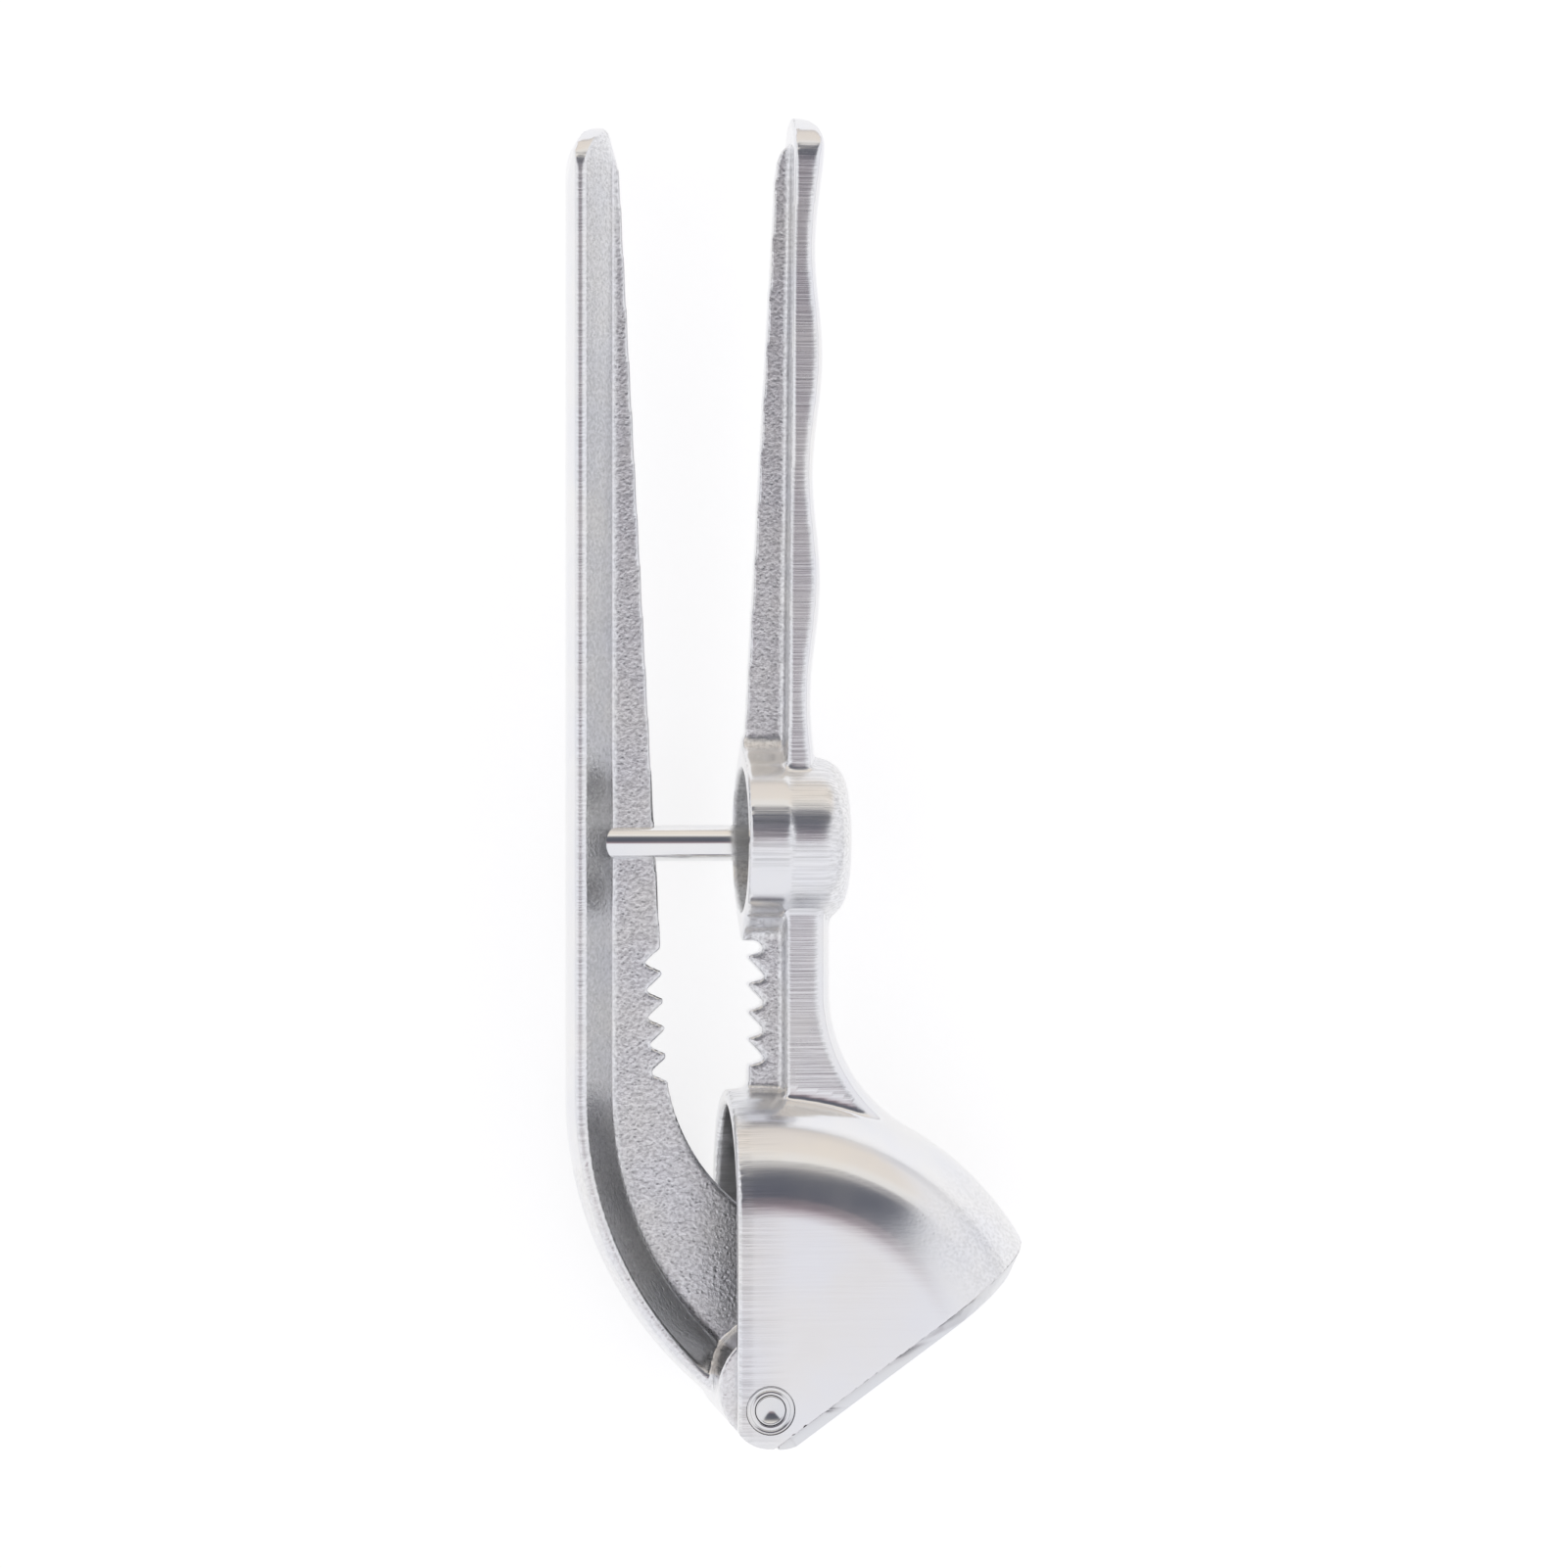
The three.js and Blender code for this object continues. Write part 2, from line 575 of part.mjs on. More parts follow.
// The web of the lever, from its tip past the teeth and the throat to the back of the plunger.
function leverWeb() {
  const edge = teeth(leverTeethBottom, leverWebEdge, -TOOTH_DEPTH, LEVER_ROOT_SHARE);
  const x = leverWebEdge(leverTeethBottom) + THROAT_RADIUS * Math.cos(THROAT_LEAN);
  const y = leverTeethBottom + THROAT_RADIUS * Math.sin(THROAT_LEAN);
  const steps = CORNER_STEPS * 2;
  const throat = arcPoints(x, y, THROAT_RADIUS, Math.PI + THROAT_TURN, Math.PI + THROAT_LEAN, steps);
  const insideBend = bendRadius - LEVER_SHOULDER + 2 * JOIN;
  const backAngle = Math.atan2(-bendY, -bendX);
  const bend = arcPoints(bendX, bendY, insideBend, -Math.PI, backAngle, steps);
  const top = leverTip - LEVER_TIP_CUT;
  const slantFoot = leverTip - LEVER_TIP_SLANT;
  const shoulder = -LEVER_BACK + LEVER_SHOULDER;
  return slab(outline([
    ...throat,
    ...edge.slice(1),
    [leverWebEdge(slantFoot), slantFoot],
    [shoulder - LEVER_TIP_CUT + JOIN, top],
    [shoulder - 2 * LEVER_TIP_CUT, top],
    ...bend,
  ]), webHalf);
}

// The plunger: a plate that fills the hopper's section, with a round barrel about the rivet.
function plunger() {
  const rest = SIEVE_ANGLE + CLOSING_ANGLE;
  const face = sieveInner - PRESSED_GAP;
  const length = HOPPER_RADIUS + 1;
  const plate = slab(sieveSlab(0, length, face - PLUNGER_THICKNESS, face, rest), FAR);
  const barrel = zColumn(BARREL_RADIUS, ROUND_STEPS, BARREL_X, BARREL_Y)
    .intersect(slab(sieveSlab(-length, length, -length, face, rest), FAR));
  return fan(plungerRadius, plungerHalf).intersect(joined(plate, barrel));
}

function pinCylinder(radius, from, to, chamfer) {
  const profile = [[0, from], [radius, from], [radius, to - chamfer], [radius - chamfer, to], [0, to]];
  return turnedOnX(profile, pinY, SMALL_STEPS);
}

function plungerArm() {
  const seat = -LEVER_BACK + LEVER_SHOULDER - PIN_SEAT;
  return joined(leverStraight(), leverBend(), leverWeb(), plunger())
    .subtract(rivetHoleThrough())
    .subtract(pinCylinder(PIN_RADIUS + SEAT_GAP, seat - SEAT_GAP, FAR, 0));
}

function stoningPin() {
  const seat = -LEVER_BACK + LEVER_SHOULDER - PIN_SEAT;
  return pinCylinder(PIN_RADIUS, seat, PIN_TIP, PIN_TIP_CHAMFER);
}

// ---- Rivet and washer ----

// A flat head below, a shank through both ears, and a domed tail above the washer.
function pivotRivet() {
  const head = -hopperHalf;
  const washerTop = hopperHalf - RIVET_RECESS + SEAT_GAP + WASHER_THICKNESS;
  const dome = arcPoints(0, 0, 1, 0, Math.PI / 2, CORNER_STEPS);
  const tail = dome.map(([side, up]) => [side * RIVET_RADIUS, washerTop - TAIL_HEIGHT + up * TAIL_HEIGHT]);
  tail[tail.length - 1][0] = 0;
  const headTop = head + RIVET_RECESS - SEAT_GAP;
  const profile = [[0, head], [rivetFlange, head], [rivetFlange, headTop], [RIVET_RADIUS, headTop], ...tail];
  return toSolid(turnedOnZ(profile, SMALL_STEPS));
}

function rivetWasher() {
  const bottom = hopperHalf - RIVET_RECESS + SEAT_GAP;
  const top = bottom + WASHER_THICKNESS;
  const inner = rivetHole;
  const profile = [[inner, bottom], [rivetFlange, bottom], [rivetFlange, top], [inner, top], [inner, bottom]];
  return toSolid(turnedOnZ(profile, SMALL_STEPS));
}

// ---- The assembly ----

const castAluminium = { color: 0xc9cacd, roughness: 0.38, metalness: 1 };
const polishedSteel = { color: 0xd6d7d8, roughness: 0.16, metalness: 1 };
const rivetSteel = { color: 0xb9bbbe, roughness: 0.28, metalness: 1 };

function piece(name, solid, finish) {
  const mesh = new THREE.Mesh(toGeometry(solid), new THREE.MeshStandardMaterial(finish));
  mesh.name = name;
  return mesh;
}

const hopperSideOfPress = new THREE.Group();
hopperSideOfPress.add(
  piece("hopper_arm", hopperArm(), castAluminium),
  piece("sieve_plate", sievePlate(), castAluminium),
  piece("pivot_rivet", pivotRivet(), rivetSteel),
  piece("rivet_washer", rivetWasher(), rivetSteel),
);

const plungerSideOfPress = new THREE.Group();
plungerSideOfPress.add(
  piece("plunger_arm", plungerArm(), castAluminium),
  piece("stoning_pin", stoningPin(), polishedSteel),
);

const press = new THREE.Group();
press.add(hopperSideOfPress, plungerSideOfPress);

const bounds = new THREE.Box3().setFromObject(press);
const middle = bounds.getCenter(new THREE.Vector3());
press.position.set(-middle.x, -middle.y, -bounds.min.z);

export default press;
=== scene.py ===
import json
import math

import bpy
import numpy as np
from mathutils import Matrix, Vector


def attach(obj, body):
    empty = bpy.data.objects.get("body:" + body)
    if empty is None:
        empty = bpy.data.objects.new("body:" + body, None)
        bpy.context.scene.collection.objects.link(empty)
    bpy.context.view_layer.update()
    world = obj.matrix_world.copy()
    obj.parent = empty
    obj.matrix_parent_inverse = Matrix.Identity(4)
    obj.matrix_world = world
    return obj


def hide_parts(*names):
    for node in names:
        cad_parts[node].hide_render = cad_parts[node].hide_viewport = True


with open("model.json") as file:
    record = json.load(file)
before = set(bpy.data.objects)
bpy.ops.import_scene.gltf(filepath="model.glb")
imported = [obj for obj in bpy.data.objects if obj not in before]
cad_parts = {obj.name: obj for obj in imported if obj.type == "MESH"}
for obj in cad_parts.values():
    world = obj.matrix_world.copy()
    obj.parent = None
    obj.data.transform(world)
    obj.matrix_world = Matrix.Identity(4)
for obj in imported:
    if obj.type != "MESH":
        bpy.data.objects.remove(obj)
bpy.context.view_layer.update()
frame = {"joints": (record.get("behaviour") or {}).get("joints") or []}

# ---- Hopper arm ----
# One aluminium casting: a fan-shaped hopper, the neck with its toothed jaw, the stoning cup and the grip.
# It is die cast, so all its corners are soft, then its flat sides are linished and the whole is tumbled.
# Sizes are millimetres from the rivet's axis: X across the handles, Y along them, Z along the rivet.
MM = 0.001
rivet_place = Vector(frame["joints"][0]["pos_m"])


def arc(x, y, radius, start, end, steps):
    """Points of an arc about (x, y), between two angles in degrees."""
    angles = np.radians(np.linspace(start, end, steps + 1))
    return [(x + radius * math.cos(a), y + radius * math.sin(a)) for a in angles]


def take_up(piece):
    """Makes a piece the only one selected."""
    bpy.ops.object.select_all(action="DESELECT")
    piece.select_set(True)
    bpy.context.view_layer.objects.active = piece


def edit(piece):
    """Opens a piece in edit mode with all of it selected."""
    take_up(piece)
    bpy.ops.object.mode_set(mode="EDIT")
    bpy.ops.mesh.select_all(action="SELECT")


def close_up():
    """Welds what meets, turns the faces outwards and leaves edit mode."""
    bpy.ops.mesh.select_all(action="SELECT")
    bpy.ops.mesh.remove_doubles(threshold=0.001 * MM)
    bpy.ops.mesh.normals_make_consistent(inside=False)
    bpy.ops.object.mode_set(mode="OBJECT")


def traced(name, places):
    """A flat face whose corners stand at the given places."""
    bpy.ops.object.select_all(action="DESELECT")
    bpy.ops.mesh.primitive_circle_add(vertices=len(places), radius=MM, fill_type="NGON")
    face = bpy.context.object
    face.name = name
    for vertex, place in zip(face.data.vertices, places):
        vertex.co = Vector(place) * MM
    return face


def prism(name, points, axis, start, end):
    """An outline drawn straight through along one axis."""
    place = {
        "X": lambda a, b: (start, a, b),
        "Y": lambda a, b: (a, start, b),
        "Z": lambda a, b: (a, b, start),
    }[axis]
    piece = traced(name, [place(a, b) for a, b in points])
    length = (end - start) * MM
    step = {"X": (length, 0, 0), "Y": (0, length, 0), "Z": (0, 0, length)}[axis]
    edit(piece)
    bpy.ops.mesh.extrude_region_move(TRANSFORM_OT_translate={"value": step})
    close_up()
    return piece


def spun(name, places, steps, centre, axis):
    """A body made by spinning a closed profile once round an axis through centre."""
    piece = traced(name, places)
    edit(piece)
    bpy.ops.mesh.delete(type="ONLY_FACE")
    bpy.ops.mesh.select_all(action="SELECT")
    bpy.ops.mesh.spin(steps=steps, angle=2 * math.pi, center=centre, axis=axis)
    close_up()
    return piece


def turned_on_z(name, profile, steps):
    """A closed profile of (radius, Z) points, spun about the rivet's axis."""
    return spun(name, [(radius, 0, z) for radius, z in profile], steps, (0, 0, 0), (0, 0, 1))


def turned_on_x(name, profile, y, steps):
    """A closed profile of (radius, X) points, spun about a line along X at height y."""
    return spun(name, [(x, y + radius, 0) for radius, x in profile], steps, (0, y * MM, 0), (1, 0, 0))


def swapped(points):
    """The same points with their two numbers the other way round."""
    return [(second, first) for first, second in points]


def carve(piece, tool, operation="DIFFERENCE"):
    """Cuts a piece with a tool, or keeps what is inside it, and takes the tool away."""
    cut = piece.modifiers.new("cut", "BOOLEAN")
    cut.operation = operation
    cut.object = tool
    cut.solver = "EXACT"
    take_up(piece)
    bpy.ops.object.modifier_apply(modifier="cut")
    bpy.data.objects.remove(tool)
    return piece


def crowned(name, points, half, crown, steps=10):
    """A side view as a flange: its edge is rounded from the middle plane out to both sides."""
    thin = 0.1
    piece = prism(name, points, "Z", -thin, thin)
    heights = [thin + (half - thin) * i / steps for i in range(steps + 1)]
    offsets = [crown * (1 - math.sqrt(max(1 - (height / half) ** 2, 0))) for height in heights]
    for side in (1, -1):
        edit(piece)
        bpy.ops.mesh.select_all(action="DESELECT")
        bpy.ops.object.mode_set(mode="OBJECT")
        for face in piece.data.polygons:
            face.select = face.normal.z * side > 0.9
        bpy.ops.object.mode_set(mode="EDIT")
        bpy.ops.mesh.select_mode(type="FACE")
        for i in range(steps):
            inwards = (offsets[i + 1] - offsets[i]) * MM
            outwards = (heights[i + 1] - heights[i]) * MM
            bpy.ops.mesh.inset(thickness=inwards, depth=outwards, use_even_offset=True)
        bpy.ops.object.mode_set(mode="OBJECT")
    return piece


def joined(name, pieces):
    """Makes several pieces one object, under the name given."""
    bpy.ops.object.select_all(action="DESELECT")
    for piece in pieces:
        piece.select_set(True)
    bpy.context.view_layer.objects.active = pieces[0]
    bpy.ops.object.join()
    pieces[0].name = name
    return pieces[0]


def cast(piece, grain, tumbling):
    """Melts overlapping bodies into one casting and softens every corner."""
    skin = piece.modifiers.new("skin", "REMESH")
    skin.mode = "VOXEL"
    skin.voxel_size = grain * MM
    rounding = piece.modifiers.new("tumbling", "SMOOTH")
    rounding.factor = 0.5
    rounding.iterations = tumbling
    take_up(piece)
    for modifier in ("skin", "tumbling"):
        bpy.ops.object.modifier_apply(modifier=modifier)


hopper_half = 17.0
hopper_radius = 44.1
hopper_wall = 2.2
hollow_radius = hopper_radius - hopper_wall
hollow_half = hopper_half - hopper_wall
hopper_centre = hopper_radius - hopper_half
mouth = -4.6
ear_radius = 5.5
sieve_outer = 6.2
sieve_inner = 4.7
sieve_slope = math.radians(36)
seat_gap = 0.3
tab_end = 0.8
nose_set_back = 3.4
nose_height = 2.4
web_half = 1.3
buried = 5.0
past_hopper = 50.0
FAR = 150.0


def on_sieve(along, out, slope=sieve_slope):
    """A place from its distance along the sieve plate and out from the rivet's axis."""
    x = along * math.cos(slope) + out * math.sin(slope)
    y = along * math.sin(slope) - out * math.cos(slope)
    return x, y


def sieve_block(name, start, end, inner, outer, half=FAR, slope=sieve_slope):
    """A block set square to the sieve: from start to end along it, and from inner to outer across it."""
    corners = ((start, inner), (start, outer), (end, outer), (end, inner))
    return prism(name, [on_sieve(*corner, slope) for corner in corners], "Z", -half, half)


def fan(name, radius, half):
    """A disc with a half-round rim: what the hopper and its hollow are turned from."""
    rim = arc(radius - half, 0, half, -90, 90, 40)
    return turned_on_z(name, [(0, -half), *rim, (0, half)], 240)


bowl = fan("bowl", hopper_radius, hopper_half)
rough_seat = sieve_inner + 0.7
tab = (tab_end - rough_seat * math.sin(sieve_slope)) / math.cos(sieve_slope)
ear_start = 360 - math.degrees(math.acos(mouth / ear_radius))
ear_end = 360 - math.degrees(math.acos(tab_end / ear_radius))
bowl_side = [
    (mouth, FAR),
    (mouth, 0),
    *arc(0, 0, ear_radius, ear_start, ear_end, 24),
    on_sieve(tab, rough_seat),
    on_sieve(FAR, rough_seat),
    (FAR, FAR),
]
carve(bowl, prism("bowl_side", bowl_side, "Z", -FAR, FAR), "INTERSECT")


def nose_limit():
    """The space that the half-round nose keeps to: it is drawn in just above the sieve."""
    bpy.ops.object.select_all(action="DESELECT")
    bpy.ops.mesh.primitive_cylinder_add(
        vertices=160, radius=hopper_half * MM, depth=nose_height * MM, end_fill_type="NGON"
    )
    nose = bpy.context.object
    wider = 1 + 1 / hopper_half
    drawn_in = 1 - nose_set_back / hopper_half
    for vertex in nose.data.vertices:
        above = vertex.co.z > 0
        along = hopper_centre * MM + vertex.co.x * (wider if above else drawn_in)
        out = (sieve_outer - (nose_height if above else 0)) * MM
        vertex.co = (*on_sieve(along, out), vertex.co.y * (wider if above else 1))
    edit(nose)
    close_up()
    top = sieve_outer - nose_height + 0.2
    before = ((-FAR, -FAR), (hopper_centre, -FAR), (hopper_centre, FAR), (-FAR, FAR))
    above = ((-FAR, -FAR), (FAR, -FAR), (FAR, top), (-FAR, top))
    for name, corners in (("before", before), ("above", above)):
        carve(nose, prism(name, [on_sieve(*corner) for corner in corners], "Z", -FAR, FAR), "UNION")
    return nose


carve(bowl, nose_limit(), "INTERSECT")
carve(bowl, fan("hollow", hollow_radius, hollow_half))

# The neck's flange runs down into the hopper's back along a hollow curve.
handle_half = 6.5
flange_face = 3.6
neck_back = 10.3
neck_radius = 22.5
neck_crown = 2.4
cup_y = 79.5
cup_radius = 12.0
curve_x = neck_back + neck_radius
curve_y = math.sqrt((hopper_radius + neck_radius) ** 2 - curve_x**2)
touch = math.degrees(math.atan2(curve_y, curve_x))
inside = hollow_radius - hopper_half
root = math.radians(touch - 8)
skin_depth = 0.7
neck_side = [
    (flange_face - buried, inside),
    (inside * math.cos(root), inside * math.sin(root)),
    ((hopper_radius - skin_depth) * math.cos(root), (hopper_radius - skin_depth) * math.sin(root)),
    *arc(curve_x, curve_y, neck_radius, 180 + touch, 180, 40),
    (neck_back, cup_y),
    (flange_face - buried, cup_y),
]
behind_face = [(flange_face, -FAR), (FAR, -FAR), (FAR, 2 * FAR), (flange_face, 2 * FAR)]
neck = crowned("neck", neck_side, handle_half, neck_crown)
carve(neck, prism("behind_face", behind_face, "Z", -FAR, FAR), "INTERSECT")

# The jaw: five teeth with short upper sides and long lower ones.
tooth_pitch = 3.9
teeth_bottom = 47.2
tooth_count = 5
tooth_depth = 2.6
tooth_blunt = 0.25
jaw_edge = -1.4
jaw_half = 2.0
jaw_root = hollow_radius - 0.5


def teeth(bottom, tip, depth, root_share):
    """A toothed edge from the bottom up: each blunt tip and the root above it, then the last flank."""
    edge = []
    for i in range(tooth_count):
        y = bottom + i * tooth_pitch
        edge += [(tip(y), y - tooth_blunt), (tip(y), y + tooth_blunt)]
        edge.append((tip(y) + depth, y + root_share * tooth_pitch))
    top = bottom + tooth_count * tooth_pitch
    return [*edge, (tip(top), top - 0.3)]


jaw_side = [
    (jaw_edge - 1.6, jaw_root),
    (jaw_edge, teeth_bottom - 2.2),
    *teeth(teeth_bottom, lambda y: jaw_edge, tooth_depth, 0.24),
    (jaw_edge, cup_y),
    (flange_face + 1, cup_y),
    (flange_face + 1, jaw_root),
]
jaw = prism("jaw", jaw_side, "Z", -jaw_half, jaw_half)
wall_depth = 0.6
for rooted in (neck, jaw):
    carve(rooted, fan("clearance", hollow_radius + wall_depth, hollow_half + wall_depth))

# The stoning cup, with the die's parting line round it where the flange's face would run.
cup_mouth = -2.3
cup_end = 12.7
cup_round = 4.5
bore = 10.0
floor_x = 10.1
outlet = 5.0
cup_profile = [
    (0, cup_mouth),
    (cup_radius, cup_mouth),
    (cup_radius, flange_face - 0.1),
    (cup_radius - 0.25, flange_face + 0.1),
    *swapped(arc(cup_end - cup_round, cup_radius - cup_round - 0.25, cup_round, 90, 0, 16)),
    (0, cup_end),
]
cup = turned_on_x("cup", cup_profile, cup_y, 120)
hollow_profile = [
    (0, cup_mouth - 5),
    (bore + 0.5, cup_mouth - 5),
    (bore + 0.5, cup_mouth),
    (bore, cup_mouth + 0.6),
    *swapped(arc(floor_x - 2, bore - 2, 2, 90, 0, 8)),
    (outlet, floor_x),
    (outlet, cup_end + 5),
    (0, cup_end + 5),
]

# Ribs that fill the corner between the cup and the web above it and the jaw below it.
rib_half = [(14.4, 1.3), (13.4, 1.9), (12.2, 3.2), (11.0, 5.4), (9.0, 7.4)]
rib = [*rib_half, *[(y, -z) for y, z in reversed(rib_half)]]
ribs = []
for side in (1, -1):
    rib_plan = [(cup_y + side * y, z) for y, z in rib]
    ribs.append(prism("rib", rib_plan, "X", cup_mouth, flange_face + 1))

# The grip: a T section whose back is rounded and waves under the fingers.
grip_length = 91.1
grip_depth = 4.9
grip_crown = 1.4
grip_lean = math.radians(0.65)
finger_pitch = 32.0
finger_hollow = 1.2
first_hollow = 8.5
cup_top = cup_y + cup_radius
arm_tip = cup_top + grip_length


def grip_back(height):
    """X of the grip's back at a height above the cup."""
    wave = 1 + math.cos(2 * math.pi * (height - first_hollow) / finger_pitch)
    return flange_face + grip_depth - finger_hollow * wave / 2


tip_round = grip_depth - finger_hollow / 2
straight = grip_length - tip_round
heights = np.linspace(0, straight, 90)
grip_side = [
    (flange_face - 3, cup_y),
    (grip_back(0), cup_y),
    *[(grip_back(height), cup_top + height) for height in heights],
    *arc(grip_back(straight) - tip_round, arm_tip - tip_round, tip_round, 0, 90, 10)[1:],
    (flange_face - 3, arm_tip),
]


def handle_plan(tip):
    """A handle seen from its back, with a round end."""
    return [(-FAR, -handle_half), *arc(tip - handle_half, 0, handle_half, -90, 90, 32), (-FAR, handle_half)]


grip = crowned("grip", grip_side, handle_half, grip_crown)
carve(grip, prism("behind_face", behind_face, "Z", -FAR, FAR), "INTERSECT")
carve(grip, prism("plan", handle_plan(arm_tip), "X", -FAR, FAR), "INTERSECT")
web_top = arm_tip - 4
web_round = 9.0
web_at_arm_tip = 1.3
web_side = [
    (flange_face + 1, cup_y),
    (flange_face + 1, web_top),
    (flange_face, web_top),
    *[
        (web_at_arm_tip + (flange_face - web_at_arm_tip) * (1 - t) ** 2, web_top - web_round * t**2)
        for t in np.linspace(0, 1, 14)
    ],
    (cup_mouth + 0.2, cup_top),
    (cup_mouth + 0.2, cup_y),
]
web = prism("web", web_side, "Z", -web_half, web_half)


def lean_over(piece, angle, axis="Z", centre=(0, 0, 0)):
    """Turns a piece about an axis through centre."""
    edit(piece)
    bpy.ops.transform.rotate(value=angle, orient_axis=axis, center_override=centre)
    bpy.ops.object.mode_set(mode="OBJECT")


for leaning in (grip, web):
    lean_over(leaning, grip_lean, centre=(0, cup_y * MM, 0))

hopper_arm = joined("hopper_casting", [bowl, neck, jaw, cup, *ribs, grip, web])
cast(hopper_arm, 0.42, 2)
milled = sieve_inner - 0.03
edit(hopper_arm)
bpy.ops.mesh.bisect(
    plane_co=Vector((*on_sieve(0, milled), 0)) * MM,
    plane_no=(math.sin(sieve_slope), -math.cos(sieve_slope), 0),
    use_fill=True,
    clear_outer=True,
)
bpy.ops.object.mode_set(mode="OBJECT")
carve(hopper_arm, turned_on_x("cup_hollow", hollow_profile, cup_y, 120))
hole = 2.4
pocket = 3.45
pocket_floor = 16.0
hole_side = [(hole, pocket_floor), (pocket, pocket_floor), (pocket, FAR), (0, FAR)]
rivet_hole = [*[(r, -z) for r, z in reversed(hole_side)], *hole_side]
carve(hopper_arm, turned_on_z("rivet_hole", rivet_hole, 64))


def settle(piece, body, node, smooth=60):
    """Moves a finished piece to its place round the rivet, shades it and hands it to its body."""
    edit(piece)
    bpy.ops.transform.translate(value=rivet_place)
    bpy.ops.object.mode_set(mode="OBJECT")
    bpy.ops.object.shade_smooth_by_angle(angle=math.radians(smooth))
    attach(piece, body)
    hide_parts(node)


def mark(piece, name, rule):
    """Stores where a finish shows, 0 to 1 at each point, from places about the rivet and normals."""
    mesh = piece.data
    places = np.empty(len(mesh.vertices) * 3)
    normals = np.empty(len(mesh.vertices) * 3)
    mesh.vertices.foreach_get("co", places)
    mesh.vertices.foreach_get("normal", normals)
    value = rule(*(places.reshape(-1, 3).T / MM), *normals.reshape(-1, 3).T)
    mesh.attributes.new(name, "FLOAT", "POINT").data.foreach_set("value", value.astype(np.float32))


def soft(value, start, end):
    """Rises smoothly from 0 at start to 1 at end."""
    share = np.clip((value - start) / (end - start), 0, 1)
    return share * share * (3 - 2 * share)


class Nodes:
    """A small hand for wiring nodes: values become socket defaults, sockets become links."""

    def __init__(self, tree):
        self.tree = tree

    def put(self, kind, settings=(), **values):
        """A new node; a value's name is a socket's name, or i and the socket's number."""
        node = self.tree.nodes.new("ShaderNode" + kind)
        for name, value in dict(settings).items():
            setattr(node, name, value)
        for name, value in values.items():
            socket = node.inputs[int(name[1:])] if name[1:].isdigit() else node.inputs[name.replace("_", " ")]
            if isinstance(value, bpy.types.NodeSocket):
                self.tree.links.new(value, socket)
            else:
                socket.default_value = value
        return node

    def maths(self, operation, first, second=0.0):
        """The result of a Math node."""
        return self.put("Math", {"operation": operation}, i0=first, i1=second).outputs[0]


def shader_group(name, inputs, outputs):
    """An empty node group with named float, colour or vector sockets."""
    tree = bpy.data.node_groups.new(name, "ShaderNodeTree")
    for socket, kind, value in inputs:
        made = tree.interface.new_socket(socket, in_out="INPUT", socket_type="NodeSocket" + kind)
        if value is not None:
            made.default_value = value
    for socket, kind in outputs:
        tree.interface.new_socket(socket, in_out="OUTPUT", socket_type="NodeSocket" + kind)
    return tree, tree.nodes.new("NodeGroupInput").outputs, tree.nodes.new("NodeGroupOutput").inputs


# Grinding lines: fine scratches that run along X, a few tenths of a millimetre apart.
lines_group, given, result = shader_group(
    "grinding_lines",
    [("Vector", "Vector", None), ("Along", "Float", 40.0), ("Across", "Float", 2600.0)],
    [("Height", "Float")],
)
hand = Nodes(lines_group)
stretch = hand.put("CombineXYZ", X=given["Along"], Y=given["Across"], Z=given["Across"]).outputs[0]
drawn = hand.put("VectorMath", {"operation": "MULTIPLY"}, i0=given["Vector"], i1=stretch).outputs[0]
scratches = hand.put("TexNoise", Vector=drawn, Scale=1.0, Detail=4.0, Roughness=0.65)
lines_group.links.new(scratches.outputs[0], result["Height"])

# As-cast skin: the rounded mottle of the die's surface, with a few small pits.
skin_group, given, result = shader_group(
    "as_cast_skin",
    [("Vector", "Vector", None), ("Mottle", "Float", 1900.0), ("Pits", "Float", 1100.0)],
    [("Height", "Float"), ("Pit", "Float")],
)
hand = Nodes(skin_group)
mottle = hand.put("TexNoise", Vector=given["Vector"], Scale=given["Mottle"], Detail=3.0, Roughness=0.6)
cells = hand.put("TexVoronoi", Vector=given["Vector"], Scale=given["Pits"], Randomness=1.0)
pits = hand.put("MapRange", i0=cells.outputs["Distance"], i1=0.05, i2=0.3, i3=0.4, i4=0.0)
skin_group.links.new(hand.maths("SUBTRACT", mottle.outputs[0], pits.outputs[0]), result["Height"])
skin_group.links.new(pits.outputs[0], result["Pit"])

# Tint: the slow drift between a cooler and a warmer metal colour.
tint_group, given, result = shader_group(
    "metal_tint",
    [("Vector", "Vector", None), ("Cool", "Color", None), ("Warm", "Color", None)],
    [("Color", "Color"), ("Haze", "Float")],
)
hand = Nodes(tint_group)
drift = hand.put("TexNoise", Vector=given["Vector"], Scale=95.0, Detail=3.0, Roughness=0.55)
share = hand.put("MapRange", i0=drift.outputs[0], i1=0.35, i2=0.65)
tinted = hand.put(
    "Mix", {"data_type": "RGBA"}, i0=share.outputs[0], i6=given["Cool"], i7=given["Warm"]
)
tint_group.links.new(tinted.outputs[2], result["Color"])
tint_group.links.new(drift.outputs[0], result["Haze"])


def put_group(hand, tree, **values):
    """Puts a shared group into a material and gives its outputs."""
    node = hand.put("Group", {"node_tree": tree})
    for name, value in values.items():
        if isinstance(value, bpy.types.NodeSocket):
            hand.tree.links.new(value, node.inputs[name])
        else:
            node.inputs[name].default_value = value
    return node.outputs


